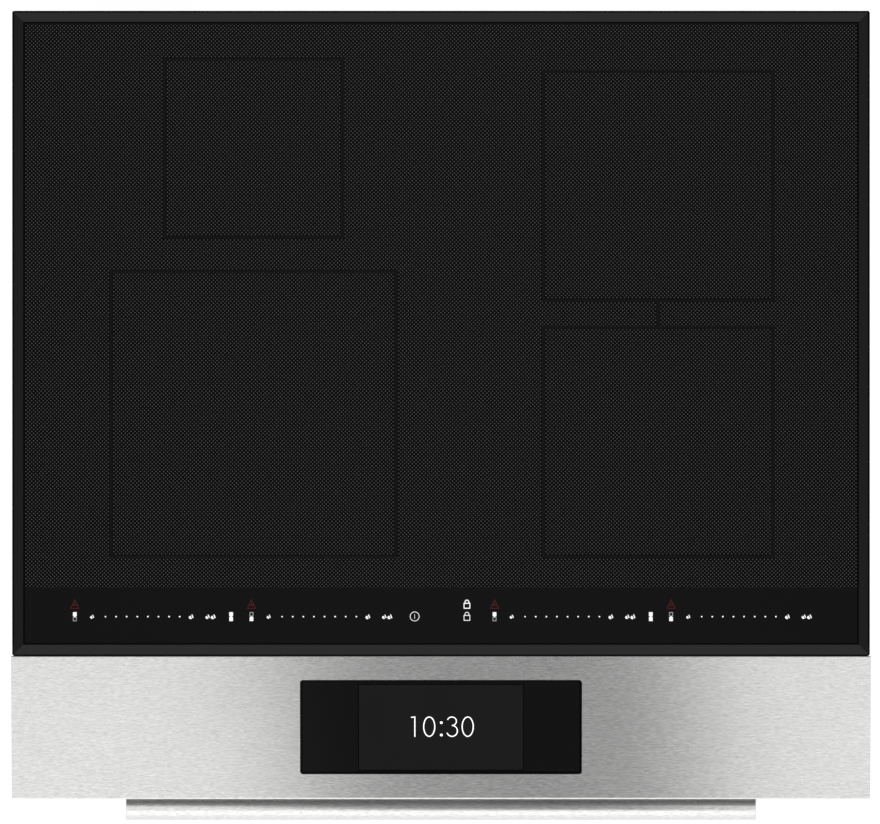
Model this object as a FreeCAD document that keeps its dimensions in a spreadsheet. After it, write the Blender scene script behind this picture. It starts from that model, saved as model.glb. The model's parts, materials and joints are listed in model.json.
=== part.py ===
import FreeCAD, Part
import math
import os
import re

import Sketcher

# A 30-inch-class induction cooktop: glass top, sloping stainless fascia with a display, front rail,
# sheet-steel chassis with coils, power electronics, fans, terminal box and hold-down clamps.
# Millimetres. X to the right, Y to the back, Z up. The origin is under the centre of the plan, at the base.

os.makedirs("parts", exist_ok=True)
doc = FreeCAD.newDocument("induction_cooktop")

SIZES = (
    ("overall_wide", 759, "fascia, end to end"),
    ("overall_deep", 715.3, "front of the rail to back of the glass"),
    ("overall_tall", 130, "base to glass surface"),
    ("skin", 1.5, "stainless sheet"),
    ("gauge", 1.2, "chassis sheet"),
    ("gap", 0.3, "clearance between loose neighbours"),
    ("room", 1, "space around a loosely placed part"),
    ("fit", 0.1, "clearance between fixed parts"),
    ("seam", 0.3, "joint between glass and fascia"),
    ("glass_wide", 757, "glass plan"),
    ("glass_deep", 569.3, "glass plan"),
    ("glass_thick", 4, "glass"),
    ("glass_corner", 2, "corner radius"),
    ("bevel_wide", 9.7, "bevel across"),
    ("bevel_drop", 2.5, "bevel down"),
    ("fascia_deep", 127, "glass edge to fascia lip, in plan"),
    ("slope_drop", 46.5, "fall of the fascia"),
    ("lip_tall", 14, "upright lip of the fascia"),
    ("flange_tall", 12, "bent flanges"),
    ("bend_radius", 2, "outside of the bends"),
    ("crisp_radius", 0.6, "fold along the top of the fascia"),
    ("window_wide", 249, "display window"),
    ("window_long", 88.9, "display window, along the slope"),
    ("window_corner", 2.7, "window corner radius"),
    ("window_below", 62.9, "top bend to window centre, in plan"),
    ("display_inset", 0.2, "display glass below the fascia"),
    ("display_thick", 3, "display glass"),
    ("module_wide", 150, "display module"),
    ("module_long", 80, "display module"),
    ("module_thick", 4.2, "display module"),
    ("bracket_rim", 8, "display bracket around the window"),
    ("bracket_tall", 6.4, "display bracket"),
    ("bracket_ledge", 6, "ledge that the display glass rests on"),
    ("board_thick", 1.6, "circuit boards"),
    ("control_wide", 200, "board behind the display"),
    ("control_long", 76, "board behind the display"),
    ("control_below", 2, "display bracket to its board"),
    ("chip_side", 16, "chips"),
    ("chip_tall", 2.4, "chips"),
    ("chip_pitch", 28, "chips"),
    ("apron_back", 36, "fascia lip to apron"),
    ("rail_long", 558, "front rail with caps"),
    ("rail_deep", 24, "front rail section"),
    ("rail_tall", 22, "front rail section"),
    ("rail_low", 36, "under the rail"),
    ("rail_nose", 16, "upper front edge radius"),
    ("rail_chin", 4, "lower front edge radius"),
    ("rail_heel", 2, "back edge radius"),
    ("cap_long", 3.5, "rail end cap"),
    ("cap_edge", 0.8, "bevel of the end cap"),
    ("arm_out", 235, "rail bracket from the centre"),
    ("arm_wide", 20, "rail bracket arm"),
    ("arm_tall", 12, "rail bracket arm"),
    ("foot_wide", 46, "rail bracket foot"),
    ("foot_tall", 30, "rail bracket foot"),
    ("foot_thick", 4, "rail bracket foot"),
    ("foot_pitch", 32, "rail bracket screws"),
    ("bolt_radius", 2.5, "rail screws"),
    ("bolt_head", 4.75, "rail screws"),
    ("bolt_head_tall", 3, "rail screws"),
    ("chassis_half", 362, "side wall from the centre, upper part"),
    ("tray_half", 344, "side wall from the centre, lower part"),
    ("chassis_rear", 345, "rear wall"),
    ("ledge_up", 64, "height of the step in the side walls"),
    ("flange_wide", 12, "top flanges"),
    ("strip_thick", 1.5, "glass support strips"),
    ("strip_start", 6, "front edge of the glass to the strips"),
    ("seal_wide", 10, "worktop seal"),
    ("seal_thick", 3, "worktop seal"),
    ("seal_out", 3, "side wall to the worktop seal"),
    ("seal_rear_wide", 8, "worktop seal behind the rear wall"),
    ("seam_seal_wide", 5, "seal under the joint of glass and fascia"),
    ("rib_first", -220, "base pan ribs"),
    ("rib_pitch", 60, "base pan ribs"),
    ("rib_wide", 8, "base pan ribs"),
    ("intake_long", 60, "fan intake slots"),
    ("intake_wide", 4, "fan intake slots"),
    ("vent_first", 60, "side vents, first slot"),
    ("vent_pitch", 14, "side vents"),
    ("vent_wide", 5, "side vents"),
    ("vent_tall", 22, "side vents"),
    ("vent_up", 24, "step of the side wall to the vents"),
    ("grille_across", 60, "rear grille"),
    ("grille_up", 96, "rear grille, middle"),
    ("grille_wide", 420, "rear opening"),
    ("grille_tall", 30, "rear opening"),
    ("grille_rim", 5, "grille beyond the opening"),
    ("grille_thick", 2, "rear grille"),
    ("slat_thick", 1.2, "grille slats"),
    ("slat_pitch", 4.6, "grille slats"),
    ("mullion_wide", 3, "grille posts"),
    ("mullion_pitch", 105, "grille posts"),
    ("deck_up", 98, "under the coil deck"),
    ("deck_half", 340, "coil deck"),
    ("deck_front", -200, "coil deck"),
    ("deck_rear", 335, "coil deck"),
    ("coil_low", 115.6, "under the coil carriers"),
    ("carrier_thick", 3, "coil carriers"),
    ("carrier_rim", 4, "carrier beyond the winding"),
    ("winding_thick", 6, "windings"),
    ("winding_base", 1, "joined foot of the turns"),
    ("turn_gap", 2.16, "top of one turn to the next"),
    ("winding_eye", 22, "inner radius of the windings"),
    ("turn_pitch", 6, "one turn to the next"),
    ("ferrite_wide", 10, "ferrite bars"),
    ("ferrite_thick", 4.8, "ferrite bars"),
    ("mica_thick", 0.6, "mica sheets"),
    ("mica_rim", 3, "mica beyond the winding"),
    ("lead_hole", 9, "holes in the deck for leads"),
    ("guide_radius", 7, "outside of the plunger guide"),
    ("guide_low", 111, "under the plunger guide"),
    ("post_radius", 3.5, "carrier posts"),
    ("post_ring", 32, "carrier posts from the coil centre"),
    ("stem_radius", 4, "sensor plunger"),
    ("tip_round", 1, "chamfer on the plunger's tip"),
    ("collar_radius", 6, "plunger collar"),
    ("collar_low", 109, "plunger collar"),
    ("collar_tall", 1.6, "plunger collar"),
    ("spring_radius", 4, "sensor spring"),
    ("spring_wire", 0.6, "sensor spring"),
    ("spring_pitch", 1.9, "sensor spring"),
    ("board_up", 10, "standoffs under the boards"),
    ("standoff_radius", 3, "standoffs"),
    ("inverter_wide", 170, "inverter board"),
    ("inverter_long", 200, "inverter board"),
    ("inverter_out", 150, "inverter from the centre"),
    ("inverter_along", 90, "inverter board"),
    ("standoff_inset", 8, "standoffs from the board's edges"),
    ("component_out", 62, "side rows of components from the board's middle"),
    ("capacitor_radius", 10, "capacitors"),
    ("capacitor_tall", 32, "capacitors"),
    ("capacitor_pitch", 24, "capacitors"),
    ("capacitor_row", 78, "capacitors before the board's middle"),
    ("relay_wide", 16, "relays"),
    ("relay_deep", 24, "relays"),
    ("relay_tall", 20, "relays"),
    ("relay_pitch", 30, "relays"),
    ("relay_row", 36, "first relay before the board's middle"),
    ("film_wide", 24, "film capacitors"),
    ("film_deep", 44, "film capacitors"),
    ("film_tall", 30, "film capacitors"),
    ("film_pitch", 52, "film capacitors"),
    ("film_row", 10, "first film capacitor behind the board's middle"),
    ("choke_ring", 14, "choke"),
    ("choke_wire", 7, "choke"),
    ("sink_wide", 68, "heatsink"),
    ("sink_long", 150, "heatsink"),
    ("sink_tall", 36, "heatsink"),
    ("sink_base", 6, "heatsink"),
    ("fin_pitch", 8, "heatsink"),
    ("fin_thick", 4, "heatsink"),
    ("filter_across", -288, "mains filter board"),
    ("filter_along", 120, "mains filter board"),
    ("filter_wide", 90, "mains filter board"),
    ("filter_long", 150, "mains filter board"),
    ("filter_choke_radius", 20, "mains filter chokes"),
    ("filter_choke_tall", 24, "mains filter chokes"),
    ("filter_choke_pitch", 50, "mains filter chokes"),
    ("filter_choke_row", 30, "first choke before the board's middle"),
    ("touch_along", -176.7, "touch controls"),
    ("touch_wide", 690, "touch board"),
    ("touch_deep", 34, "touch board"),
    ("touch_below", 7, "glass to the touch board"),
    ("touch_chip", 12, "chips under the touch board"),
    ("touch_chip_tall", 2, "chips under the touch board"),
    ("touch_chip_pitch", 96, "chips under the touch board"),
    ("guide_deep", 30, "light guide"),
    ("guide_thick", 5, "light guide"),
    ("cup_wide", 20, "light guide cups"),
    ("cup_deep", 18, "light guide cups"),
    ("cup_floor", 2, "light guide under the cups"),
    ("cup_pitch", 27, "light guide cups"),
    ("fan_half", 42, "fan housing"),
    ("fan_tall", 24, "fan housing"),
    ("fan_out", 150, "fan from the centre"),
    ("fan_along", 262, "fan towards the rear"),
    ("fan_bore", 39, "fan housing bore"),
    ("blade_radius", 36.5, "fan blades"),
    ("blade_thick", 1.6, "fan blades"),
    ("hub_radius", 16, "fan hub"),
    ("hub_bore", 2.55, "fan hub"),
    ("spindle_radius", 2.5, "fan spindle"),
    ("spindle_short", 3, "fan spindle below the top of the housing"),
    ("spoke_wide", 5, "arms under the fan spindle"),
    ("spoke_tall", 2, "arms under the fan spindle"),
    ("hub_up", 4, "fan hub above the base of the housing"),
    ("hub_tall", 17, "fan hub"),
    ("blade_reach", 9, "half the blade's chord, across"),
    ("blade_rise", 7, "half the blade's chord, up"),
    ("box_left", -330, "terminal box"),
    ("box_right", -230, "terminal box"),
    ("box_low", 12, "terminal box"),
    ("box_high", 58, "terminal box"),
    ("box_deep", 40, "terminal box"),
    ("block_wide", 80, "terminal block"),
    ("block_deep", 20, "terminal block"),
    ("block_tall", 22, "terminal block"),
    ("block_up", 10, "terminal block above the box's floor"),
    ("lug_radius", 4, "terminal screws"),
    ("lug_tall", 2, "terminal screws"),
    ("lug_pitch", 15, "terminal screws"),
    ("cover_thick", 2, "terminal cover"),
    ("cover_side", 8, "terminal cover beyond the box"),
    ("cover_below", 6, "terminal cover below the box"),
    ("cover_rib", 3, "terminal cover ribs"),
    ("rib_proud", 0.5, "middle of the ribs in front of the cover"),
    ("cover_rib_pitch", 12, "terminal cover ribs"),
    ("ear_out", 36, "hinge ears from the cover's middle"),
    ("ear_wide", 9, "hinge ears"),
    ("knuckle_radius", 3, "terminal cover hinge"),
    ("hinge_pin_radius", 1.5, "terminal cover hinge"),
    ("entry_radius", 7, "cable entry bore"),
    ("entry_along", -196, "cable entry"),
    ("entry_up", 36, "cable entry"),
    ("gland_radius", 12, "cable gland flange"),
    ("gland_out", 11, "cable gland beyond the rear wall"),
    ("gland_flange", 4, "cable gland"),
    ("gland_step", 2, "nose of the gland inside its flange"),
    ("gland_neck", 7, "cable gland behind the rear wall"),
    ("gland_nut", 5, "cable gland"),
    ("gland_shoulder", 3, "flange of the gland beyond its hole"),
    ("clamp_wide", 14, "hold-down clamp"),
    ("clamp_long", 62, "hold-down clamp"),
    ("clamp_thick", 3, "hold-down clamp"),
    ("clamp_low", 50.3, "hold-down clamp"),
    ("clamp_out", 353, "clamp screw from the centre"),
    ("clamp_screw", 3, "clamp screw"),
    ("clamp_head", 5.5, "clamp screw head"),
    ("clamp_head_tall", 4, "clamp screw head"),
    ("clamp_stud", 5, "clamp screw above the step"),
    ("tip_deep", 6, "turned-up tip of the clamp"),
    ("tip_tall", 7, "turned-up tip of the clamp"),
    ("tip_in", 3, "tip from the end of the clamp"),
    ("running", 0.06, "clearance around a turning screw or pin"),
    ("screw_radius", 1.9, "panel screws"),
    ("screw_head", 3.8, "panel screws"),
    ("head_tall", 2, "panel screws"),
    ("recess_wide", 1, "cross recess in screw heads"),
    ("recess_deep", 1.2, "cross recess in screw heads"),
    ("rear_shank", 6, "screws through the rear wall"),
    ("fixing_radius", 2.25, "cabinet fixing holes"),
    ("fixing_pitch_along", 400, "cabinet fixing holes"),
    ("fixing_up", 30, "cabinet fixing holes"),
)

sheet = doc.addObject("Spreadsheet::Sheet", "dims")
for row, (alias, size, meaning) in enumerate(SIZES, start=1):
    sheet.set(f"A{row}", meaning)
    sheet.set(f"B{row}", str(size))
    sheet.setAlias(f"B{row}", alias)
doc.recompute()
ALIASES = {alias for alias, size, meaning in SIZES}
nodes = []


def bound(text):
    """The text as an expression, each alias pointing at its cell."""
    return re.sub(r"[a-z_]+", lambda m: f"dims.{m[0]}" if m[0] in ALIASES else m[0], str(text))


def number(text):
    """What an expression comes to."""
    return float(sheet.evalExpression(bound(text)))


def bind(item, path, text):
    item.setExpression(path, bound(text))


def keep(item, name):
    """Marks a finished sub-part. Its label is its file name."""
    item.Label = name
    nodes.append(item)
    return item


# Heights and places that follow from the sizes
GLASS_UNDER = "(overall_tall - glass_thick)"
GLASS_BACK = "(overall_deep / 2)"
GLASS_FRONT = "(overall_deep / 2 - glass_deep)"
FASCIA_TOP = "(overall_tall - bevel_drop)"
FASCIA_BACK = f"({GLASS_FRONT} - seam)"
LIP_FRONT = f"({GLASS_FRONT} - fascia_deep)"
LIP_TOP = f"({FASCIA_TOP} - slope_drop)"
LIP_LOW = f"({LIP_TOP} - lip_tall)"
SLOPE_RUN = "(fascia_deep - seam)"
SLOPE_ANGLE = f"atan(slope_drop / {SLOPE_RUN})"
APRON_FRONT = f"({LIP_FRONT} + apron_back)"
WINDOW_Y = f"({FASCIA_BACK} - window_below)"
WINDOW_Z = f"({FASCIA_TOP} - window_below * slope_drop / {SLOPE_RUN})"
RAIL_FRONT = "(-overall_deep / 2)"
RAIL_BACK = f"({RAIL_FRONT} + rail_deep)"
RAIL_MIDDLE = "(rail_low + rail_tall / 2)"
FLANGE_TOP = f"({GLASS_UNDER} - strip_thick)"
DECK_TOP = "(deck_up + gauge)"
WINDING_LOW = "(coil_low + carrier_thick)"
MICA_LOW = f"({WINDING_LOW} + winding_thick + gap)"
ZONES = (  # name, centre across, centre along, coil radius
    ("rear_left", -165.4, 236.7, 70),
    ("front_left", -165.5, 2.3, 112),
    ("rear_right", 191.4, 202.9, 88),
    ("front_right", 191.4, -23.2, 88),
)
SIDES = (("left", -1), ("right", 1))
CORNERS = ((-1, -1), (1, -1), (1, 1), (-1, 1))
SCREW_UP = "(flange_tall / 2 + gauge)"
SIDE_SCREWS = ("-270", "-90", "90", "300")  # along Y
REAR_SCREWS = ("-150", "0", "150", "300")  # along X
CLAMPS = (("front", "-150"), ("rear", "210"))  # along Y
PAN_TOP = "(gauge * 2)"
BOARD_LOW = f"({PAN_TOP} + board_up)"
BOARD_TOP = f"({BOARD_LOW} + board_thick)"
BOX_MIDDLE = "((box_left + box_right) / 2)"
LEAD_RADIUS, LEAD_BEND = 2.5, 10
VENT_SLOTS = 14
INTAKE_SLOTS = 8
SPOKES = 9
LEAD_HOLE_SHARE = 0.62  # of the coil's radius
COIL_SIDES = 16  # straight lengths in one turn of a spring
MITRED = 1  # the sweep's corners


# Plain solids bound to the sheet


def block(name, across, along, low, wide, deep, tall):
    """A block about a plan centre, standing on a height."""
    item = doc.addObject("Part::Box", name)
    for side, size in (("Length", wide), ("Width", deep), ("Height", tall)):
        bind(item, side, size)
    bind(item, "Placement.Base.x", f"({across}) - ({wide}) / 2")
    bind(item, "Placement.Base.y", f"({along}) - ({deep}) / 2")
    bind(item, "Placement.Base.z", low)
    return item


TURNS = {
    "x": FreeCAD.Rotation(FreeCAD.Vector(0, 1, 0), 90),
    "y": FreeCAD.Rotation(FreeCAD.Vector(1, 0, 0), -90),
    "z": FreeCAD.Rotation(),
}


def rod(name, across, along, low, radius, long, axis="z"):
    """A cylinder from a start point along an axis."""
    item = doc.addObject("Part::Cylinder", name)
    bind(item, "Radius", radius)
    bind(item, "Height", long)
    item.Placement = FreeCAD.Placement(FreeCAD.Vector(), TURNS[axis])
    for letter, place in (("x", across), ("y", along), ("z", low)):
        bind(item, f"Placement.Base.{letter}", place)
    return item


def screw(name, places, head_radius, head_tall, shank_radius, shank_long, axis, head_first):
    """A screw along an axis from its lowest point. The outer end of its head has a cross recess."""
    letters = "xyz"
    spot = letters.index(axis)

    def moved(step):
        return [f"({text}) + {step}" if i == spot else text for i, text in enumerate(places)]

    head_at = places if head_first else moved(shank_long)
    shank_at = moved(head_tall) if head_first else places
    head = rod(f"{name}_head", *head_at, head_radius, head_tall, axis)
    shank = rod(f"{name}_shank", *shank_at, shank_radius, shank_long, axis)
    arms = []
    for letter in letters.replace(axis, ""):
        sizes = {each: "recess_wide" for each in letters}
        sizes[letter] = f"({head_radius}) * 1.2"
        sizes[axis] = "recess_deep * 2"
        face = "0" if head_first else f"({shank_long}) + ({head_tall})"
        centre = moved(face)
        centre[2] = f"{centre[2]} - ({sizes['z']}) / 2"
        arms.append(block(f"{name}_recess_{letter}", *centre, sizes["x"], sizes["y"], sizes["z"]))
    return cut(name, fuse(f"{name}_solid", [head, shank]), arms)


def group(name, items):
    """Separate solids as one item."""
    item = doc.addObject("Part::Compound", name)
    item.Links = items
    return item


def fuse(name, items):
    item = doc.addObject("Part::MultiFuse", name)
    item.Shapes = items
    item.Refine = True
    return item


def cut(name, base, tools):
    item = doc.addObject("Part::Cut", name)
    item.Base = base
    item.Tool = tools[0] if len(tools) == 1 else group(f"{name}_tools", tools)
    return item


# Bodies with sketches


def new_body(name):
    return doc.addObject("PartDesign::Body", name)


def sketch(body, role, offset="0", tilt=None):
    """A sketch on one of the body's origin planes, moved along its normal, or tilted about its X."""
    drawing = body.newObject("Sketcher::SketchObject", f"{body.Name}_sketch")
    plane = next(f for f in body.Origin.OriginFeatures if f.Role == role)
    drawing.AttachmentSupport = [(plane, "")]
    drawing.MapMode = "FlatFace"
    if tilt:
        drawing.AttachmentOffset = FreeCAD.Placement(
            FreeCAD.Vector(0, number(tilt[0]), number(tilt[1])),
            FreeCAD.Rotation(FreeCAD.Vector(1, 0, 0), number(SLOPE_ANGLE)),
        )
    else:
        bind(drawing, "AttachmentOffset.Base.z", offset)
    return drawing


def hold(drawing, kind, places, text):
    """A constraint bound to an expression."""
    made = drawing.addConstraint(Sketcher.Constraint(kind, *places, number(text)))
    drawing.setExpression(f"Constraints[{made}]", bound(text))


def polygon(drawing, corners):
    """A closed outline with straight sides, each corner held from the origin."""
    first, count = drawing.GeometryCount, len(corners)
    points = [FreeCAD.Vector(number(u), number(v), 0) for u, v in corners]
    for i in range(count):
        drawing.addGeometry(Part.LineSegment(points[i], points[(i + 1) % count]))
    for i in range(count):
        follower = first + (i + 1) % count
        drawing.addConstraint(Sketcher.Constraint("Coincident", first + i, 2, follower, 1))
    for i, (u, v) in enumerate(corners):
        hold(drawing, "DistanceX", (-1, 1, first + i, 1), u)
        hold(drawing, "DistanceY", (-1, 1, first + i, 1), v)


def rectangle(drawing, across, along, wide, deep):
    left, right = f"({across}) - ({wide}) / 2", f"({across}) + ({wide}) / 2"
    low, high = f"({along}) - ({deep}) / 2", f"({along}) + ({deep}) / 2"
    polygon(drawing, ((left, low), (right, low), (right, high), (left, high)))


def circle(drawing, across, along, radius):
    centre = FreeCAD.Vector(number(across), number(along), 0)
    made = drawing.addGeometry(Part.Circle(centre, FreeCAD.Vector(0, 0, 1), number(radius)))
    hold(drawing, "Radius", (made,), radius)
    hold(drawing, "DistanceX", (-1, 1, made, 3), across)
    hold(drawing, "DistanceY", (-1, 1, made, 3), along)


def pad(body, drawing, long, symmetric=False, back=False):
    item = body.newObject("PartDesign::Pad", f"{body.Name}_pad")
    item.Profile = drawing
    item.SideType = "Symmetric" if symmetric else "One side"
    item.Reversed = back
    bind(item, "Length", long)
    doc.recompute()
    return item


def pocket(body, drawing, long, symmetric=False, back=False):
    """A cut, which has to take material away."""
    before = body.Shape.Volume
    item = body.newObject("PartDesign::Pocket", f"{body.Name}_pocket")
    item.Profile = drawing
    item.SideType = "Symmetric" if symmetric else "One side"
    item.Reversed = back
    bind(item, "Length", long)
    doc.recompute()
    if body.Shape.Volume >= before:
        raise RuntimeError(f"a pocket in {body.Name} cuts nothing")
    return item


def revolve(body, drawing):
    item = body.newObject("PartDesign::Revolution", f"{body.Name}_turned")
    item.Profile = drawing
    item.ReferenceAxis = (drawing, ["V_Axis"])
    item.Angle = 360
    doc.recompute()
    return item


def repeat_round(body, feature, drawing, count):
    """The feature again, evenly round the sketch's normal."""
    item = body.newObject("PartDesign::PolarPattern", f"{body.Name}_ring")
    item.Originals = [feature]
    item.Axis = (drawing, ["N_Axis"])
    item.Angle = 360
    item.Occurrences = count
    body.Tip = item
    doc.recompute()
    return item


def soften(body, feature, test, radius, flat=False):
    """Rounds, or bevels if flat, the edges of a feature that pass the test."""
    edges = [f"Edge{i}" for i, e in enumerate(feature.Shape.Edges, start=1) if test(e)]
    if not edges:
        raise RuntimeError(f"no edge to soften in {body.Name}")
    kind = "PartDesign::Chamfer" if flat else "PartDesign::Fillet"
    item = body.newObject(kind, f"{body.Name}_edges")
    item.Base = (feature, edges)
    bind(item, "Size" if flat else "Radius", radius)
    doc.recompute()
    return item


def straight_along(edge, letter):
    """True for a straight edge that runs along one axis."""
    if not isinstance(edge.Curve, Part.Line):
        return False
    return abs(getattr(edge.Curve.Direction, letter)) > 0.999


def near(edge, y=None, z=None, x=None, within=0.2):
    """True where the middle of the edge has the coordinates given as expressions."""
    middle = edge.CenterOfMass
    wanted = ((middle.x, x), (middle.y, y), (middle.z, z))
    return all(text is None or abs(at - number(text)) < within for at, text in wanted)


# The glass


def glass_ceramic_top():
    """A rounded slab whose four upper edges are planed to a shallow mitred bevel."""
    body = new_body("glass_ceramic_top")
    plan = sketch(body, "XY_Plane", GLASS_UNDER)
    rectangle(plan, "0", f"{GLASS_BACK} - glass_deep / 2", "glass_wide", "glass_deep")
    slab = pad(body, plan, "glass_thick")
    soften(body, slab, lambda e: straight_along(e, "z"), "glass_corner")
    for role, low, high, reach in (
        ("YZ_Plane", GLASS_FRONT, GLASS_BACK, "overall_wide * 2"),
        ("XZ_Plane", "(-glass_wide / 2)", "(glass_wide / 2)", "overall_deep * 2"),
    ):
        for edge, outward in ((low, -1), (high, 1)):
            planed = sketch(body, role)
            outer = f"{edge} + {outward} * bevel_wide"
            inner = f"{edge} - {outward} * bevel_wide * 2"
            top = "overall_tall + bevel_drop"
            corners = [(outer, "overall_tall - bevel_drop * 2"), (inner, top), (outer, top)]
            polygon(planed, corners)
            pocket(body, planed, reach, symmetric=True)
    keep(body, "glass_ceramic_top")


def side_strips(name, inset, wide, thick, low):
    """Two strips along the sides, flat below the glass."""
    front = f"({GLASS_FRONT} + strip_start)"
    along, deep = f"(chassis_rear + {front}) / 2", f"chassis_rear - {front}"
    return [
        block(f"{name}_{side}", f"{sign} * {inset}", along, low, wide, deep, thick)
        for side, sign in SIDES
    ]


def glass_support_strips():
    inset = "(chassis_half - flange_wide / 2)"
    items = side_strips("support", inset, "flange_wide", "strip_thick", FLANGE_TOP)
    wide = "(chassis_half - flange_wide) * 2 - gap * 2"
    for name, along in (
        ("support_rear", "chassis_rear - flange_wide / 2"),
        ("support_front", f"{GLASS_FRONT} + strip_start + flange_wide / 2"),
    ):
        items.append(block(name, "0", along, FLANGE_TOP, wide, "flange_wide", "strip_thick"))
    keep(group("glass_support_strips", items), "glass_support_strips")


def worktop_seal():
    """Foam under the overhang of the glass on three sides, and under its joint with the fascia."""
    inset, low = "(chassis_half + seal_wide / 2 + seal_out)", f"({GLASS_UNDER} - seal_thick)"
    items = side_strips("seal", inset, "seal_wide", "seal_thick", low)
    wide = "(chassis_half + seal_wide + seal_out) * 2"
    along = "chassis_rear + gap + seal_rear_wide / 2"
    items.append(block("seal_rear", "0", along, low, wide, "seal_rear_wide", "seal_thick"))
    seam_along = f"{FASCIA_BACK} + seam_seal_wide / 2"
    seam_wide = "glass_wide - seal_out"
    items.append(block("seal_seam", "0", seam_along, low, seam_wide, "seam_seal_wide", "seal_thick"))
    keep(group("worktop_seal", items), "worktop_seal")


# The fascia and the display behind its window


def fascia_panel():
    """Bent sheet: short upright flange, slope, lip, return. Each end is folded into a closed wing."""
    body = new_body("fascia_panel")
    fall = f"slope_drop / {SLOPE_RUN}"
    inner_drop = f"skin * sqrt(1 + pow({fall}; 2))"
    inner_back = (f"{FASCIA_BACK} - skin", f"{FASCIA_TOP} - skin * {fall} - {inner_drop}")
    inner_front = (f"{LIP_FRONT} + skin", f"{LIP_TOP} + skin * {fall} - {inner_drop}")
    profile = sketch(body, "YZ_Plane")
    polygon(
        profile,
        (
            (FASCIA_BACK, f"{FASCIA_TOP} - flange_tall"),
            (FASCIA_BACK, FASCIA_TOP),
            (LIP_FRONT, LIP_TOP),
            (LIP_FRONT, LIP_LOW),
            (APRON_FRONT, LIP_LOW),
            (APRON_FRONT, f"{LIP_LOW} + skin"),
            (f"{LIP_FRONT} + skin", f"{LIP_LOW} + skin"),
            inner_front,
            inner_back,
            (f"{FASCIA_BACK} - skin", f"{FASCIA_TOP} - flange_tall"),
        ),
    )
    pad(body, profile, "overall_wide", symmetric=True)
    wing = "(overall_wide / 2 - chassis_half - room)"
    for side, sign in SIDES:
        solid = sketch(body, "YZ_Plane", f"{sign} * (overall_wide / 2)")
        polygon(
            solid,
            (
                (FASCIA_BACK, FASCIA_TOP),
                (LIP_FRONT, LIP_TOP),
                (LIP_FRONT, LIP_LOW),
                (FASCIA_BACK, LIP_LOW),
            ),
        )
        pad(body, solid, wing, back=sign > 0)
        hollow = sketch(body, "YZ_Plane", f"{sign} * (overall_wide / 2 - {wing})")
        polygon(
            hollow,
            (
                inner_back,
                inner_front,
                (f"{LIP_FRONT} + skin", f"{LIP_LOW} + skin"),
                (f"{FASCIA_BACK} - skin", f"{LIP_LOW} + skin"),
            ),
        )
        last = pocket(body, hollow, f"{wing} - skin", back=sign > 0)
    lip_bends = ((LIP_FRONT, LIP_TOP), (LIP_FRONT, LIP_LOW))
    rounded = soften(
        body,
        last,
        lambda e: straight_along(e, "x") and any(near(e, y=y, z=z) for y, z in lip_bends),
        "bend_radius",
    )
    soften(
        body,
        rounded,
        lambda e: straight_along(e, "x") and near(e, y=FASCIA_BACK, z=FASCIA_TOP),
        "crisp_radius",
    )
    window = sketch(body, "XY_Plane", tilt=(WINDOW_Y, WINDOW_Z))
    rectangle(window, "0", "0", "window_wide", "window_long")
    hole = pocket(body, window, "skin * 4", symmetric=True)
    slope = math.radians(number(SLOPE_ANGLE))
    normal = FreeCAD.Vector(0, -math.sin(slope), math.cos(slope))
    soften(
        body,
        hole,
        lambda e: isinstance(e.Curve, Part.Line)
        and abs(e.Curve.Direction.dot(normal)) > 0.999
        and abs(abs(e.CenterOfMass.x) - number("window_wide / 2")) < 0.1,
        "window_corner",
    )
    keep(body, "fascia_panel")


def on_slope(item):
    """Lays an item made about its own origin on the window's centre, its Z out of the fascia."""
    tilt_axis = FreeCAD.Vector(1, 0, 0)
    item.Placement = FreeCAD.Placement(FreeCAD.Vector(), FreeCAD.Rotation(tilt_axis, 0))
    bind(item, "Placement.Rotation.Angle", SLOPE_ANGLE)
    bind(item, "Placement.Base.y", WINDOW_Y)
    bind(item, "Placement.Base.z", WINDOW_Z)
    return item


def display():
    """Glass in the window, the module behind it, the bracket around both and the board below."""
    glass = new_body("display_glass")
    plan = sketch(glass, "XY_Plane", "-display_inset")
    rectangle(plan, "0", "0", "window_wide - fit * 2", "window_long - fit * 2")
    slab = pad(glass, plan, "display_thick", back=True)
    soften(glass, slab, lambda e: straight_along(e, "z"), "window_corner - fit")
    keep(on_slope(glass), "display_glass")

    under = "(display_inset + display_thick)"
    module = new_body("display_module")
    plan = sketch(module, "XY_Plane", f"-{under} - fit * 2")
    rectangle(plan, "0", "0", "module_wide", "module_long")
    slab = pad(module, plan, "module_thick", back=True)
    soften(module, slab, lambda e: straight_along(e, "z"), "gauge")
    keep(on_slope(module), "display_module")

    bracket = new_body("display_bracket")
    plan = sketch(bracket, "XY_Plane", "-skin - fit")
    wide, long = "window_wide + bracket_rim * 2", "window_long + bracket_rim * 2"
    rectangle(plan, "0", "0", wide, long)
    slab = pad(bracket, plan, "bracket_tall", back=True)
    soften(bracket, slab, lambda e: straight_along(e, "z"), "window_corner")
    seat = sketch(bracket, "XY_Plane", f"-{under} - fit")
    rectangle(seat, "0", "0", "window_wide + gap", "window_long + gap")
    pocket(bracket, seat, "bracket_tall", back=True)
    through = sketch(bracket, "XY_Plane", "0")
    rectangle(through, "0", "0", "window_wide - bracket_ledge * 2", "window_long - bracket_ledge / 2")
    pocket(bracket, through, "bracket_tall * 4", symmetric=True)
    keep(on_slope(bracket), "display_bracket")

    low = "-(skin + bracket_tall + board_thick + control_below)"
    board = block("control_pcb", "0", "0", low, "control_wide", "control_long", "board_thick")
    chips = []
    for i in range(6):
        across, along = f"({i} - 2.5) * chip_pitch", f"{(-1) ** i} * chip_pitch / 2"
        under_board = f"{low} - chip_tall"
        chips.append(block(f"chip_{i}", across, along, under_board, "chip_side", "chip_side", "chip_tall"))
    keep(on_slope(fuse("display_control_board", [board, *chips])), "display_control_board")


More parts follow.
